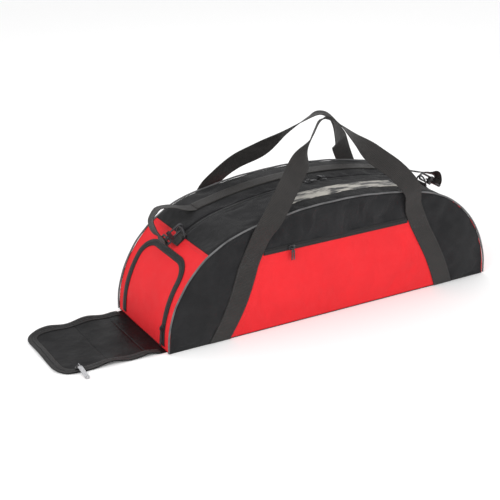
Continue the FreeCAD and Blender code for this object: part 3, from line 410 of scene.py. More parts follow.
class Nodes:
    """A short way to build one material's node tree."""

    def __init__(self, name):
        self.material = bpy.data.materials.new(name)
        self.material.use_nodes = True
        self.tree = self.material.node_tree
        self.shader = self.tree.nodes["Principled BSDF"]

    def add(self, kind, **settings):
        node = self.tree.nodes.new("ShaderNode" + kind)
        for key, value in settings.items():
            if key in node.inputs:
                node.inputs[key].default_value = value
            else:
                setattr(node, key, value)
        return node

    def link(self, output, target):
        self.tree.links.new(output, target)

    def noise(self, where, scale, detail=3.0, roughness=0.5):
        node = self.add("TexNoise", Scale=scale, Detail=detail, Roughness=roughness)
        self.link(where, node.inputs["Vector"])
        return node.outputs["Fac"]

    def waves(self, where, pitch, direction, distortion=0.0):
        """Bands across one direction, one to each pitch in metres."""
        node = self.add("TexWave", Scale=0.314 / pitch, Distortion=distortion, wave_type="BANDS",
                        bands_direction=direction)
        self.link(where, node.inputs["Vector"])
        return node.outputs["Fac"]

    def weave(self, where, thread, distortion):
        both_ways = [self.waves(where, thread, way, distortion) for way in "XY"]
        return self.math("MULTIPLY", *both_ways)

    def math(self, operation, first, second):
        node = self.add("Math", operation=operation)
        for slot, value in zip(node.inputs, (first, second)):
            if isinstance(value, (int, float)):
                slot.default_value = value
            else:
                self.link(value, slot)
        return node.outputs[0]

    def mix(self, fac, first, second):
        node = self.add("Mix", data_type="RGBA")
        self.link(fac, node.inputs["Factor"])
        for key, color in (("A", first), ("B", second)):
            slot = [s for s in node.inputs if s.name == key and s.type == "RGBA"][0]
            if isinstance(color, tuple):
                slot.default_value = (*color, 1.0)
            else:
                self.link(color, slot)
        return [s for s in node.outputs if s.type == "RGBA"][0]

    def range(self, value, low, high, new_low, new_high):
        node = self.add("MapRange")
        self.link(value, node.inputs["Value"])
        limits = {"From Min": low, "From Max": high, "To Min": new_low, "To Max": new_high}
        for key, number in limits.items():
            node.inputs[key].default_value = number
        return node.outputs["Result"]

    def bump(self, height, distance, strength=1.0, under=None):
        node = self.add("Bump", Distance=distance, Strength=strength)
        self.link(height, node.inputs["Height"])
        if under is not None:
            self.link(under, node.inputs["Normal"])
        return node.outputs["Normal"]

    def finished(self, color, roughness, normal, more=()):
        """The material, its colour, roughness and normal linked and further inputs set by name."""
        for key, output in (("Base Color", color), ("Roughness", roughness), ("Normal", normal)):
            self.link(output, self.shader.inputs[key])
        for key, value in dict(more).items():
            self.shader.inputs[key].default_value = value
        return self.material

    def uv(self):
        return self.add("TexCoord").outputs["UV"]

    def place(self):
        return self.add("TexCoord").outputs["Object"]


def shade(color, share):
    return tuple(min(1.0, c * share) for c in color)


def woven(name, color, thread=0.0011, rough=0.82, sheen=0.04, crinkle=0.0012, crinkle_scale=38.0,
          fade=0.25):
    """Plain-weave polyester: threads both ways, small creases, and uneven colour."""
    n = Nodes(name)
    uv, place = n.uv(), n.place()
    weave = n.weave(uv, thread, 0.3)
    crease = n.noise(place, crinkle_scale, 5.0, 0.55)
    tint = n.noise(place, 9.0, 4.0, 0.6)
    base = n.mix(n.range(tint, 0.3, 0.7, 0.0, 1.0), shade(color, 1 - fade), shade(color, 1 + fade))
    base = n.mix(n.range(weave, 0.0, 1.0, 0.35, 0.0), base, shade(color, 0.45))
    folds = n.bump(crease, crinkle, 0.9)
    return n.finished(base, n.range(crease, 0.3, 0.7, rough - 0.08, rough + 0.08),
                      n.bump(weave, thread * 0.35, 0.6, folds),
                      {"Specular IOR Level": 0.2, "Sheen Weight": sheen, "Sheen Roughness": 0.5})


def ribbed(name, color, pitch=0.0016, rough=0.6, direction="X", depth=0.0005):
    """Webbing or zipper tape: ribs along it, crossed by finer threads."""
    n = Nodes(name)
    uv, place = n.uv(), n.place()
    ribs = n.waves(uv, pitch, direction, 0.15)
    cross = n.waves(uv, pitch * 0.8, "Y" if direction == "X" else "X", 0.4)
    height = n.math("ADD", ribs, n.math("MULTIPLY", cross, 0.45))
    tint = n.noise(place, 45.0, 4.0, 0.6)
    base = n.mix(n.range(tint, 0.3, 0.7, 0.0, 1.0), shade(color, 0.75), shade(color, 1.35))
    base = n.mix(n.range(ribs, 0.0, 0.6, 0.5, 0.0), base, shade(color, 0.4))
    return n.finished(base, n.range(tint, 0.3, 0.7, rough - 0.07, rough + 0.1),
                      n.bump(height, depth, 0.8), {"Specular IOR Level": 0.25, "Sheen Weight": 0.04})


def coated(name, color):
    """The flap's inner face: fabric under a glossy film, with soft dents."""
    n = Nodes(name)
    uv, place = n.uv(), n.place()
    weave = n.weave(uv, 0.0014, 0.2)
    dents = n.noise(place, 22.0, 3.0, 0.5)
    tint = n.noise(place, 7.0, 3.0, 0.5)
    base = n.mix(n.range(tint, 0.3, 0.7, 0.0, 1.0), shade(color, 0.7), shade(color, 1.5))
    return n.finished(base, n.range(dents, 0.25, 0.75, 0.36, 0.52),
                      n.bump(weave, 0.00012, 0.4, n.bump(dents, 0.004, 0.9)),
                      {"Coat Weight": 0.015, "Coat Roughness": 0.3, "Specular IOR Level": 0.07})


def reflective(name, color):
    """Grey reflective piping: a fine diagonal weave with glass-bead glitter."""
    n = Nodes(name)
    uv, place = n.uv(), n.place()
    diagonal = n.waves(uv, 0.0018, "DIAGONAL", 0.2)
    sparkle = n.noise(place, 900.0, 2.0, 0.6)
    wear = n.noise(place, 30.0, 4.0, 0.6)
    base = n.mix(n.range(wear, 0.35, 0.7, 0.0, 1.0), shade(color, 1.15), shade(color, 0.6))
    base = n.mix(n.range(diagonal, 0.0, 0.5, 0.35, 0.0), base, shade(color, 0.5))
    return n.finished(base, n.range(sparkle, 0.3, 0.7, 0.5, 0.7), n.bump(diagonal, 0.0003, 0.6),
                      {"Specular IOR Level": 0.25})


def streaked(name, dark, light):
    """A pale sewn patch with lengthwise streaks."""
    n = Nodes(name)
    uv = n.uv()
    stretch = n.add("Mapping")
    stretch.inputs["Scale"].default_value = (16.0, 60.0, 1.0)
    n.link(uv, stretch.inputs["Vector"])
    streaks = n.noise(stretch.outputs["Vector"], 1.0, 5.0, 0.62)
    weave = n.weave(uv, 0.001, 0.0)
    base = n.mix(n.range(streaks, 0.44, 0.54, 0.0, 1.0), dark, light)
    return n.finished(base, n.range(streaks, 0.3, 0.7, 0.4, 0.65),
                      n.bump(weave, 0.0002, 0.5, n.bump(streaks, 0.0005, 0.5)))


def moulded(name, color, rough=0.32, metal=0.0, grain=0.00015, wear=1.8):
    """Moulded plastic or cast metal: a faint grain, rubbed lighter in places."""
    n = Nodes(name)
    place = n.place()
    fine_grain = n.noise(place, 1600.0, 3.0, 0.6)
    rubbed = n.noise(place, 120.0, 4.0, 0.6)
    base = n.mix(n.range(rubbed, 0.5, 0.75, 0.0, 1.0), color, shade(color, wear))
    return n.finished(base, n.range(rubbed, 0.3, 0.7, rough - 0.06, rough + 0.12),
                      n.bump(fine_grain, grain, 0.5), {"Metallic": metal})


BLACK = (0.012, 0.012, 0.013)
RED = (0.71, 0.019, 0.025)
MATERIALS = {
    "black": woven("black_polyester", BLACK, crinkle=0.0022),
    # A copy of the black, 1.15 times lighter, worn only by the front upper wall: painted light where that
    # wall faces the lamps. Its deeper, larger creases are real bumps.
    "black_creased_painted_light": woven("black_creased_painted_light_polyester", shade(BLACK, 1.15), crinkle=0.004,
                          crinkle_scale=30.0),
    "red": woven("red_polyester", RED, rough=0.75, sheen=0.0, crinkle=0.0014, fade=0.06),
    "base": woven("base_cloth", shade(BLACK, 0.9), thread=0.0015),
    "lining": woven("lining_cloth", (0.03, 0.03, 0.032), thread=0.0009),
    "coated": coated("coated_flap", (0.004, 0.004, 0.0045)),
    "binding": ribbed("binding_tape", (0.009, 0.009, 0.009), pitch=0.0018),
    "tape": ribbed("zipper_tape", (0.010, 0.010, 0.010), pitch=0.0013, depth=0.0003),
    "webbing": ribbed("webbing", (0.021, 0.019, 0.018), pitch=0.0034, direction="Y", depth=0.0012),
    "piping": reflective("reflective_piping", (0.11, 0.11, 0.112)),
    "patch": streaked("streaked_patch", (0.02, 0.02, 0.02), (0.42, 0.40, 0.36)),
    "coil": moulded("zipper_coil", (0.009, 0.009, 0.01), rough=0.5),
    "thread": moulded("thread", (0.035, 0.035, 0.038), rough=0.7),
    "thread_red": moulded("thread_red", (0.42, 0.02, 0.03), rough=0.7),
    "plastic": moulded("black_plastic", (0.018, 0.018, 0.02), rough=0.34),
    "board": moulded("base_board", (0.05, 0.05, 0.05), rough=0.6),
    "dark_metal": moulded("black_metal", (0.03, 0.03, 0.032), rough=0.35, metal=0.4, wear=3.0),
    "bright_metal": moulded("plated_metal", (0.34, 0.34, 0.35), rough=0.3, metal=1.0, wear=0.7),
}


def finish_piece(piece, body, slot, *nodes):
    if nodes:
        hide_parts(*nodes)
    if body:
        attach(piece, body)
    return piece


# ------------------------ the bag's shell


def arch_z(x):
    """Height of the top arc above a place along the bag."""
    return TOP_Z + np.sqrt(TOP_R ** 2 - np.asarray(x, float) ** 2)


CELL = 0.0075       # the side walls' mesh size


def end_panel(name, side_y, side_x, look):
    """The side wall beyond the slanted seam, which narrows to a point at its top."""
    heights = np.linspace(0.002, 0.2738, 36)[:, None]
    share = np.linspace(0, 1, 20)[None, :]
    x = side_x * (arch_x(heights) * (1 - share) + seam_x(heights) * share)
    return patch(name, wall_surface(side_y), x, heights, (0, side_y, 0), look)


def middle_panel(name, side_y, z_low, z_high, look):
    """The side wall between the slanted seams, up to a level line or, with no z_high, to the arch."""
    share = np.linspace(-1, 1, 88)[None, :]
    bottom_x, bottom_z = seam_x(z_low) * share, z_low
    if z_high is None:
        top_x = seam_x(0.2742) * share
        top_z = arch_z(top_x) - 0.0006
    else:
        top_x, top_z = seam_x(z_high) * share, z_high
    rows = max(8, int((float(np.max(top_z)) - z_low) / CELL))
    rise = np.linspace(0, 1, rows)[:, None]
    x = bottom_x * (1 - rise) + top_x * rise
    z = bottom_z * (1 - rise) + top_z * rise
    return patch(name, wall_surface(side_y), x, z, (0, side_y, 0), look)


def wall(piece, push_out, spare, cap, slot, node):
    """Finishes one wall panel, which settles between its seams."""
    bag_cloth(piece, slot, node, shape=lambda p: settle(p, push_out, spare, held_by_seams(p), cap))


def side_walls():
    for word, side_y in (("front", -1), ("back", 1)):
        for end, side_x in (("left", -1), ("right", 1)):
            piece = end_panel(f"{word}_{end}_wall", side_y, side_x, "black")
            wall(piece, 1.4, 0.06, 0.0075, "black_fabric", f"{word}_panel_{end}")
    lower = middle_panel("front_pocket_wall", -1, 0.002, 0.199, "red")
    wall(lower, 0.6, 0.012, 0.004, "red_fabric", "front_pocket_lower")
    # The front upper wall takes the lighter black: painted light on the front-facing panel.
    upper = middle_panel("front_upper_wall", -1, 0.201, None, "black_creased_painted_light")
    wall(upper, 1.4, 0.09, 0.009, "black_fabric", "front_pocket_upper")
    centre = middle_panel("back_centre_wall", 1, 0.002, None, "red")
    wall(centre, 0.6, 0.015, 0.005, "red_fabric", "back_panel_centre")


def pocket_lining():
    share = np.linspace(-0.205, 0.205, 60)[None, :]
    rise = np.linspace(0.009, 0.240, 34)[:, None]
    surface = wall_surface(-1)
    piece = patch("pocket_lining", surface, share, rise, (0, 1, 0), "lining", -0.010)
    bag_cloth(piece, "lining", "front_pocket_lining", 0.0008)


def shape_end(piece):
    """Gives an end wall its small dents; only the right one is free to billow."""
    push(piece, lambda p: 0.0006 * math.sin(p.y * 37 + p.z * 29) * math.cos(p.z * 51 - p.y * 11))
    if piece.name.startswith("right"):
        settle(piece, 1.4, -0.02, border_of(piece), 0.011)


def shell_top():
    """The two black strips over the top, creased along the zipper, and the red ends."""
    for word, side in (("front", -1), ("back", 1)):
        s = np.linspace(-S_BORDER, S_BORDER, 112)[:, None]
        y = side * np.linspace(0.0075, 0.1400, 20)[None, :]
        piece = patch(f"top_{word}_strip", arch_surface, s, y, (0, 0, 1), "black")
        bag_cloth(piece, "black_fabric", f"gusset_top_{word}",
                  shape=lambda p: settle(p, -0.7, 0.03, border_of(p), 0.006))
    for word, side in (("left", -1), ("right", 1)):
        s = side * np.linspace(S_BORDER, S_FOOT + 0.009, 36)[:, None]
        y = np.linspace(-0.1400, 0.1400, 40)[None, :]
        piece = patch(f"{word}_end_wall", arch_surface, s, y, (side, 0, 0.3), "red")
        bag_cloth(piece, "red_fabric", f"gusset_{word}_end", shape=shape_end)


def bottom():
    x = np.linspace(-HALF_LENGTH, HALF_LENGTH, 60)[:, None]
    y = np.linspace(-HALF_WIDTH, HALF_WIDTH, 24)[None, :]

    def under(u, v, lift=0.0):
        u, v = meet(u, v)
        return np.stack([u, v, np.full(u.shape, 0.0019 + lift)], -1)

    piece = patch("base_cloth", under, x, y, (0, 0, 1), "base")
    bag_cloth(piece, "black_fabric", "bottom_panel", 0.0018, 0)


def tube(name, points, radius, look, sides=12):
    """A round cord along a path that keeps to planes of equal Y, with closed ends."""
    ahead = heading(points)
    side = np.array([0.0, 1.0, 0.0])
    out = np.cross(ahead, side)
    turn = np.linspace(0, 2 * math.pi, sides + 1)
    ring = points[:, None, :] + radius * (np.cos(turn)[None, :, None] * side[None, None, :]
                                          + np.sin(turn)[None, :, None] * out[:, None, :])
    uv = np.stack(meet(turn[None, :] * radius, distance_run(points)[:, None]), -1)
    rows, columns = ring.shape[:2]
    faces = [(a, d, c, b) for a, b, c, d in quads(rows, columns)]
    faces.append(tuple(range(columns - 1)))
    faces.append(tuple((rows - 1) * columns + j for j in reversed(range(columns - 1))))
    return mesh_object(name, ring.reshape(-1, 3), faces, uv.reshape(-1, 2), look)


def piping():
    """Round piping in a sewn sleeve, a little uneven where it is stitched."""
    for word, side in (("front", -1), ("back", 1)):
        s = np.linspace(-S_FOOT - 0.0065, S_FOOT + 0.0065, 420)
        y = side * (HALF_WIDTH + PIPING_OUT)
        wander = 0.0005 * np.sin(s * 43 + side) + 0.0003 * np.sin(s * 97)
        line = arch_surface(s, y, PIPING_OUT)
        line[:, 1] += wander
        line[:, 2] += 0.4 * wander
        sleeve = tube(f"piping_{word}_sleeve", line, 0.0022, "piping")
        finish_piece(sleeve, "bag", "piping", f"piping_{word}")


# ------------------------ zippers


def straight(start, stop, count=60):
    return np.linspace(np.asarray(start, float), np.asarray(stop, float), count)


def u_path(y_foot, y_head, low, top, corner):
    """An upside-down U of two legs and two round corners, as (along, across) pairs."""
    turn = np.linspace(0, math.pi / 2, 14)
    left_leg = straight((low, -y_foot), (top - corner, -y_head), 40)
    along, across = corner * np.sin(turn), corner * (1 - np.cos(turn))
    corner_one = np.stack([top - corner + along, across - y_head], -1)
    corner_two = corner_one[::-1] * [1, -1]
    right_leg = left_leg[::-1] * [1, -1]
    return np.concatenate([left_leg, corner_one[1:], corner_two, right_leg[1:]])


COIL = {"pitch": 0.0019, "across": 0.0058, "along": 0.00135, "height": 0.0011, "taper": 0.8}
FINE_COIL = {**COIL, "across": 0.003, "height": 0.0009}


def end_surface(a, y, lift=0.0):
    """The left end: a is the distance up from the end arc's foot."""
    return arch_surface(-(S_FOOT - np.asarray(a, float)), y, lift)


def zipper(name, surface, path, width, lift, thickness, outward, coil_path, coil_lift, coil, columns=5):
    """A zipper's tape and its coil; the end pocket's coil has no CAD solid of its own."""
    tape = strip_on(f"{name}_zipper_tape", surface, path, width, lift, thickness, outward, "tape", columns)
    finish_piece(tape, "bag", "zip_tape", f"{name}_zip_tape")
    teeth = studs_on(f"{name}_zipper_coil", surface, [coil_path], lift=coil_lift, look="coil", **coil)
    node = f"{name}_zip_coil"
    finish_piece(teeth, "bag", "coil", *([node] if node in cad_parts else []))


def zippers():
    whole = straight((-S_BORDER, 0), (S_BORDER, 0), 300)
    zipper("main", arch_surface, whole, 0.0158, -0.0014, 0.001, (0, 0, 1), whole, -0.0004, COIL)
    for word, side in (("left", -1), ("right", 1)):
        s = side * (S_BORDER - 0.0055)
        path = straight((s, -0.015), (s, 0.015), 12)
        tab = strip_on(f"zipper_{word}_tab", arch_surface, path, 0.010, 0.0016, 0.001, (0, 0, 1), "webbing")
        finish_piece(tab, "bag", "zip_tape", *(["zip_end_tabs"] if word == "left" else []))
    line = straight((-0.206, 0.2), (0.206, 0.2), 200)
    zipper("pocket", wall_surface(-1), line, 0.0145, 0.0005, 0.001, (0, -1, 0), line * [0.975, 1], 0.0013,
           COIL)
    path = u_path(0.108, 0.1045, 0.0, 0.1995, 0.048)
    zipper("end", end_surface, path, 0.018, 0.0008, 0.0009, (-1, 0, 0.3), path, 0.0017, FINE_COIL, 7)


# ------------------------ flap


def flap_cut(path, low, high):
    """The part of a flap path between two distances from the hinge, as separate runs."""
    runs, run = [], []
    for point in path:
        if low - 1e-9 <= point[0] <= high + 1e-9:
            run.append(point)
        elif run:
            runs.append(np.array(run))
            run = []
    if run:
        runs.append(np.array(run))
    return [r for r in runs if len(r) > 2]


def fine(path):
    return resample(path, 0.001)[0]


def flap_outline(inset, corner):
    return u_path(FLAP_HALF - inset, FLAP_HALF - 0.0085 - inset, 0.0, FLAP_LENGTH - inset, corner)


def flap():
    """The coated flap in three lengths that meet in the middle of its plates."""
    _, first, second = FLAP_FOLDS
    cuts = [-0.0135, first / 2, (first + second) / 2, FLAP_LENGTH]
    bodies = [("bag", "flap_inner"), ("flap_inner", "flap_middle"), ("flap_middle", "flap_outer")]
    corner = FLAP_CORNER
    for i, (low, high) in enumerate(zip(cuts, cuts[1:])):
        name, plate = ("root", "middle", "tip")[i], ("inner", "middle", "outer")[i]
        d = np.linspace(low, high, max(8, int((high - low) / 0.0045)))[:, None]
        share = np.linspace(-1, 1, 54)[None, :]
        half = flap_half(d)
        into = np.clip(d - (FLAP_LENGTH - corner), 0, corner)
        half = half - (corner - np.sqrt(np.maximum(corner ** 2 - into ** 2, 0)))
        y = np.maximum(half, 0.03) * share
        sheet = patch(f"flap_{name}_sheet", flap_surface, d, y, (0, 0, 1), "coated")
        cut_size(sheet)
        thicken(sheet, CLOTH, smooth=0)
        evened = sheet.modifiers.new("Even", "WEIGHTED_NORMAL")
        evened.weight = 100
        parts = [(sheet, "coated_fabric", [f"flap_{plate}"])]
        for what, inset, width, lift, thick in (("binding", 0.004, 0.009, 0.0004, 0.0012),
                                                ("tape", 0.014, 0.015, 0.0002, 0.0008)):
            runs = flap_cut(fine(flap_outline(inset, corner - inset)), low - 0.0006, high + 0.0006)
            for k, run in enumerate(runs):
                piece = strip_on(f"flap_{name}_{what}_{k}", flap_surface, run, width, lift, thick,
                                 (0, 0, 1), what, pitch=0.004)
                stands_for = [f"flap_tape_{plate}"] if (what, k) == ("tape", 0) else []
                parts.append((piece, "zip_tape", stands_for))
        runs = flap_cut(fine(flap_outline(0.012, corner - 0.012)), max(low, 0.0), high)
        coil = studs_on(f"flap_{name}_coil", flap_surface, runs, lift=0.001, look="coil", **FINE_COIL)
        parts.append((coil, "coil", []))
        for piece, slot, nodes in parts:
            finish_piece(piece, None, slot, *nodes)
            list(bodies[i])
            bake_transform(piece)


# ------------------------ straps

FOOT_Y = 143.5
FLAT_LEFT = (math.cos(LEAN), 0, -math.sin(LEAN))
FLAT_RIGHT = (math.cos(LEAN), 0, math.sin(LEAN))

FRONT_LOOP = [
    ((-222, -FOOT_Y, 229), FLAT_LEFT),
    ((-212, -149, 253), (0.90, -0.08, -0.43)),
    ((-190, -155, 287), (0.84, -0.32, -0.45)),
    ((-140, -130, 333), (0.75, -0.50, -0.43)),
    ((-85, -89, 370), (0.70, -0.56, -0.41)),
    ((-33, -59, 415), (0.40, 0.74, -0.52)),
    ((4, -36, 449), (0.36, 0.82, -0.44)),
    ((33, -27, 460), (0.36, 0.86, -0.36)),
    ((66, -34, 443), (0.44, 0.84, -0.25)),
    ((104, -54, 404), (0.58, 0.70, 0.15)),
    ((143, -82, 364), (0.70, 0.10, 0.68)),
    ((176, -127, 332), (0.80, -0.05, 0.55)),
    ((206, -155, 288), (0.88, 0.0, 0.45)),
    ((216, -149, 253), FLAT_RIGHT),
    ((222, -FOOT_Y, 229), FLAT_RIGHT),
]
BACK_LOOP = [
    ((-222, FOOT_Y, 229), FLAT_LEFT),
    ((-211, 149, 253), FLAT_LEFT),
    ((-181, 153, 287), (0.80, 0.25, -0.54)),
    ((-134, 130, 331), (0.50, 0.30, -0.80)),
    ((-84, 88, 369), (0.5, 0.2, -0.72)),
    ((-34, 57, 411), (0.42, 0.7, -0.5)),
    ((8, 34, 442), (0.36, 0.84, -0.32)),
    ((44, 28, 455), (0.32, 0.9, -0.2)),
    ((80, 35, 440), (0.3, 0.9, 0.1)),
    ((112, 54, 404), (0.5, 0.72, 0.42)),
    ((146, 84, 362), (0.72, 0.42, 0.52)),
    ((176, 127, 331), (0.84, -0.05, 0.5)),
    ((206, 155, 288), (0.88, 0.0, 0.46)),
    ((216, 149, 253), FLAT_RIGHT),
    ((222, FOOT_Y, 229), FLAT_RIGHT),
]


def sew_down(points, side):
    """Follows the wall's swelling with a strap's sewn length, and cuts its foot level with the base."""
    centre = points.mean(axis=1)
    ahead = heading(centre)
    for row in range(len(points)):
        z = centre[row, 2]
        if z < 0.035:
            level = (1 - z / 0.035) * (points[row, :, 2] - z) / ahead[row, 2]
            points[row] -= level[:, None] * ahead[row]
        low = points[row, :, 2] < 0.2
        points[row, :, 1] += side * np.where(low, belly(points[row, :, 0], points[row, :, 2]), 0)
    return points


def handles():
    """Each handle is one length of webbing: sewn up the side wall, over in a loop, and down again."""
    for word, side, loop in (("front", -1, FRONT_LOOP), ("back", 1, BACK_LOOP)):
        y = side * 141.4
        foot = [1, 11, 22, 36, 60, 85, 110, 135, 160, 180, 196]
        up = [((-seam_x(z * MM) / MM, y, z), FLAT_LEFT) for z in foot]
        down = [((seam_x(z * MM) / MM, y, z), FLAT_RIGHT) for z in reversed(foot)]
        points, uv = webbing_grid(up + loop + down, HANDLE_WIDTH, 7)
        piece = webbing(f"{word}_handle_webbing", sew_down(points, side), uv, "webbing")
        replaced = [f"{word}_{node}" for node in ("handle", "strap_left", "strap_right")]
        finish_piece(piece, None, "webbing", *replaced)
        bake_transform(piece)


STRAP_Y = 0.064
# Where the strap leaves the arch: 18.6 degrees round the left end arc, and on the top arc at x = 0.232.
STRAP_ENDS = (-(S_JOIN + END_R * (math.radians(18.6) - JOIN)), TOP_R * math.asin(0.232 / TOP_R))


def shoulder_strap(under):
    """The strap where it lies along the top; returns how high its two ends lie over the arch."""
    path = straight((STRAP_ENDS[0], STRAP_Y), (STRAP_ENDS[1], STRAP_Y), 200)
    strap = strip_on("shoulder_webbing", arch_surface, path, STRAP_WIDTH, 0.0006, 0.002, (0, 0, 1),
                     "webbing", 8, under=under)
    finish_piece(strap, "bag", "webbing", "shoulder_strap")
    lifts = []
    for vertex, s in zip((strap.data.vertices[3], strap.data.vertices[-4]), STRAP_ENDS):
        ground = Vector(arch_surface(s, vertex.co.y))
        lifts.append((vertex.co - ground).length)
    return lifts


# The rings and hooks are in millimetres, as their routes are.
RING_STAND, RING_RADIUS, HOOK_WIRE, SWIVEL_BAR = 5.6, 20.0, 2.8, 50.5
HOOK_SLOPE = math.radians(32.0)
BORDER_TILT = BORDER / END_R        # angle of the border above the end arc's foot, radians


def hook_frame(side):
    """The hook's own length and height directions and the middle of the swivel's bar, in mm."""
    out = END_R / MM + RING_STAND
    anchor = np.array([side * (END_X / MM + out * math.cos(BORDER_TILT)), 0,
                       SIDE_RISE / MM + out * math.sin(BORDER_TILT)])
    along = np.array([side * math.cos(HOOK_SLOPE), 0, -math.sin(HOOK_SLOPE)])
    up = np.array([math.sin(HOOK_SLOPE), 0, side * math.cos(HOOK_SLOPE)])
    top = anchor + np.array([0, 0, RING_RADIUS]) + along * HOOK_WIRE
    return along, up, top + along * SWIVEL_BAR


def slack_route(side, lift):
    """The strap's free run from the top of the bag to its turn round the swivel's bar."""
    along, up, bar = hook_frame(side)
    level = (0, 1, 0)
    s = STRAP_ENDS[0] if side < 0 else STRAP_ENDS[1]
    start = arch_surface(s - side * 0.005, STRAP_Y, lift + 0.001) / MM
    near = arch_surface(s + side * 0.006, STRAP_Y, lift + 0.0013) / MM
    humps = {
        -1: [((-312, 63, 265), level), ((-346, 60, 277), (0.2, 0.95, -0.15)),
             ((-381, 54, 281), (0.2, 0.95, -0.2)), ((-402, 43, 270), (0.1, 0.95, -0.25)),
             ((-413, 27, 257), (0.1, 0.85, -0.45)), ((-412, 11, 244), (0.05, 0.95, -0.3))],
        1: [((264, 62, 268), level), ((292, 60, 268), level), ((324, 53, 257), level),
            ((357, 42, 246), (-0.1, 0.98, -0.1)), ((386, 27, 242), (-0.1, 0.95, -0.25)),
            ((402, 11, 239), (0, 0.97, -0.2))],
    }[side]
    out = up * side
    wrap = [bar + out * 14 - along * 0.5, bar + out * 5.5 + along * 2.4, bar + along * 3.4 - out * 0.5,
            bar - out * 3.6 + along * 0.5, bar - along * 3.4 - out * 1.2, bar - along * 4.6 + out * 4,
            bar - along * 3.8 + out * 13]
    return ([(tuple(start), level), (tuple(near), level)] + humps
            + [(tuple(p), level) for p in wrap])


def strap_runs(lifts):
    """The slack at each end, cut into three lengths."""
    for word, side, lift in (("left", -1, lifts[0]), ("right", 1, lifts[1])):
        points, uv = webbing_grid(slack_route(side, lift), STRAP_WIDTH, 6)
        ring, hook, loop = f"d_ring_{word}", f"snap_hook_{word}", f"hook_swivel_{word}"
        cuts = [0, 30, 45, len(points) - 1]
        pairs = [("bag", ring), (ring, hook), (hook, loop)]
        for k, (low, high) in enumerate(zip(cuts, cuts[1:])):
            rows = points[low:high + 1]
            piece = webbing(f"slack_{word}_{k}", rows, uv[low:high + 1], "webbing")
            finish_piece(piece, None, "webbing", *([f"strap_slack_{word}"] if k == 0 else []))
            middle = rows.mean(axis=1)
            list(pairs[k])
            tuple(middle[1])
            tuple(middle[-2])
            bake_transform(piece)


def ring_tabs():
    """A short webbing loop round each D-ring's bar, its two layers sewn down over the border."""
    for word, side in (("left", -1), ("right", 1)):
        normal = np.array([side * math.cos(BORDER_TILT), 0, math.sin(BORDER_TILT)])
        upward = np.array([-side * math.sin(BORDER_TILT), 0, math.cos(BORDER_TILT)])
        ground = np.array([side * END_X / MM, 0, SIDE_RISE / MM]) + normal * END_R / MM
        profile = [(-27, 0.9), (-18, 0.9), (-9, 0.9), (-2, 1.3), (2.8, 2.8), (3.9, 5.6), (2.6, 8.4),
                   (0, 9.4), (-2.8, 8.3), (-5.2, 5.6), (-9, 3.6), (-16, 2.9), (-27, 2.7)]
        route = [(tuple(ground + upward * t + normal * n), (0, 1, 0)) for t, n in profile]
        points, uv = webbing_grid(route, 0.034, 4)
        piece = webbing(f"ring_{word}_tab", points, uv, "webbing", 0.0014)
        finish_piece(piece, "bag", "webbing", f"ring_tab_{word}")


# ------------------------ trim and stitching


def trim_patch(under):
    """The pale patch on the top, laid on the creased cloth below it."""
    s = TOP_R * np.arcsin(np.linspace(-0.130, 0.200, 90) / TOP_R)[:, None]
    y = np.linspace(-0.106, -0.060, 18)[None, :]
    lift = lift_over(under, arch_surface, s, y, -0.01) + 0.0006
    piece = patch("top_patch", arch_surface, s, y, (0, 0, 1), "patch", lift)
    bag_cloth(piece, "trim_patch", "top_trim_patch", 0.0008, 0)


STITCH_IN = 0.0222                  # from a strap's middle to its stitching
BOX_BASE, BOX_TOP = 0.176, 0.204    # the crossed box of stitches at the top of a sewn strap
BOX_HALF = 0.022                    # half the box's width
STITCH = {"pitch": 0.0036, "across": 0.0008, "along": 0.0026, "height": 0.0005, "taper": 0.75}


def stitching(under):
    """Double rows of thread beside the borders and up the edges of the sewn straps."""
    borders = []
    for side in (-1, 1):
        for gap in (0.003, 0.009):
            s = side * (S_BORDER + gap)
            borders.append(straight((s, -0.136), (s, -0.020), 20))
            borders.append(straight((s, 0.020), (s, 0.136), 20))
    rows = studs_on("border_stitches", arch_surface, borders, lift=0.0008, look="thread_red", **STITCH)
    finish_piece(rows, "bag", "red_fabric")
    edges = []
    for side in (-1, 1):
        for y in (0.011, 0.0145):
            edges.append(straight((-S_BORDER + 0.02, side * y), (S_BORDER - 0.02, side * y), 200))
    rows = studs_on("zipper_stitches", arch_surface, edges, lift=0.0, look="thread", under=under,
                    **STITCH)
    finish_piece(rows, "bag", "black_fabric")
    for word, side_y in (("front", -1), ("back", 1)):
        lines = []
        for side_x in (-1, 1):
            for offset in (-STITCH_IN, STITCH_IN):
                shift = offset / math.cos(LEAN)
                low, high = ((side_x * seam_x(z) + shift, z) for z in (0.004, BOX_TOP))
                lines.append(straight(low, high, 40))
            corners = [(side_x * seam_x(z) + shift, z)
                       for z in (BOX_BASE, BOX_TOP) for shift in (-BOX_HALF, BOX_HALF)]
            for a, b, count in ((0, 1, 8), (2, 3, 8), (0, 3, 10), (1, 2, 10)):
                lines.append(straight(corners[a], corners[b], count))
        rows = studs_on(f"{word}_strap_stitches", wall_surface(side_y), lines, lift=0.0023,
                        look="thread", **STITCH)
        finish_piece(rows, "bag", "webbing")


# ------------------------ CAD nodes that keep their shape


def dress_hardware():
    looks = {"base_board": "board", "strap_adjuster": "plastic"}
    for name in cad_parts:
        if name.startswith(("d_ring", "snap_hook", "hook_gate", "hook_swivel")):
            looks[name] = "plastic"
        elif name == "flap_pull":
            looks[name] = "bright_metal"
        elif name.endswith(("slider", "pull")) or "_slider_" in name or "_pull_" in name:
            looks[name] = "dark_metal"
    for name, look in looks.items():
        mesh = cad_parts[name].data
        mesh.materials.clear()
        mesh.materials.append(MATERIALS[look])


# ------------------------ room, light and camera


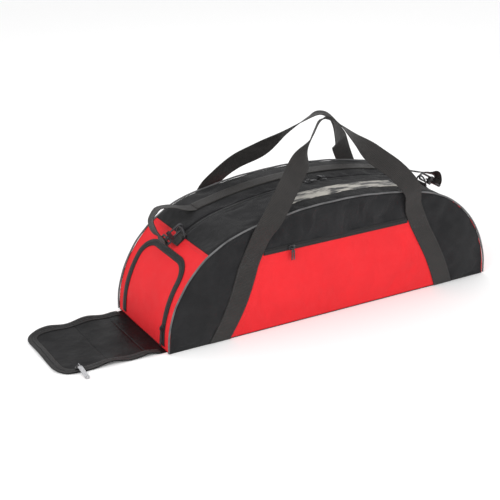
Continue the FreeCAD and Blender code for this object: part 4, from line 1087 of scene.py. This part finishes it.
def room():
    mesh = bpy.data.meshes.new("floor")
    half = 6.0
    mesh.from_pydata([(-half, -half, -0.0006), (half, -half, -0.0006), (half, half, -0.0006),
                      (-half, half, -0.0006)], [], [(0, 1, 2, 3)])
    floor = bpy.data.objects.new("floor", mesh)
    scene.collection.objects.link(floor)
    n = Nodes("pale_floor")
    n.shader.inputs["Base Color"].default_value = (0.93, 0.93, 0.93, 1)
    n.shader.inputs["Roughness"].default_value = 0.7
    mesh.materials.append(n.material)
    world = bpy.data.worlds.new("studio")
    world.use_nodes = True
    background = world.node_tree.nodes["Background"]
    background.inputs["Color"].default_value = (1, 1, 1, 1)
    background.inputs["Strength"].default_value = 1.0
    scene.world = world
    scene.view_settings.view_transform = "Standard"


def lamp(name, at, target, size, power):
    light = bpy.data.lights.new(name, "AREA")
    light.shape = "RECTANGLE"
    light.size, light.size_y = size
    light.energy = power
    lamp_object = bpy.data.objects.new(name, light)
    lamp_object.location = at
    lamp_object.rotation_mode = "QUATERNION"
    lamp_object.rotation_quaternion = (Vector(target) - Vector(at)).to_track_quat("-Z", "Y")
    scene.collection.objects.link(lamp_object)


def lights():
    lamp("key", (-2.1, -1.3, 1.5), (0, 0, 0.15), (1.6, 1.2), 36)
    lamp("fill", (1.3, -2.5, 0.9), (0, 0, 0.15), (1.6, 1.2), 26)
    lamp("rear", (0.3, 2.0, 1.9), (0, 0, 0.2), (2.0, 0.9), 8)


def camera():
    azimuth, elevation = math.radians(-30.48), math.radians(22.33)
    aim, distance = Vector((-0.080, 0, 0.170)), 3.13845
    back = Vector((math.sin(azimuth) * math.cos(elevation), -math.cos(azimuth) * math.cos(elevation),
                   math.sin(elevation)))
    data = bpy.data.cameras.new("camera")
    data.lens, data.sensor_width = 91.10, 36.0
    data.shift_x, data.shift_y = -0.0591, -0.0304
    eye = bpy.data.objects.new("camera", data)
    eye.location = aim + back * distance
    eye.rotation_mode = "QUATERNION"
    eye.rotation_quaternion = (-back).to_track_quat("-Z", "Y")
    scene.collection.objects.link(eye)
    scene.camera = eye


side_walls()
pocket_lining()
shell_top()
bottom()
piping()
zippers()
flap()
handles()
tops = [bpy.data.objects[f"top_{word}_strip"] for word in ("front", "back")]
strap_runs(shoulder_strap(tops))
ring_tabs()
trim_patch(tops)
stitching(tops)
dress_hardware()
room()
lights()
camera()
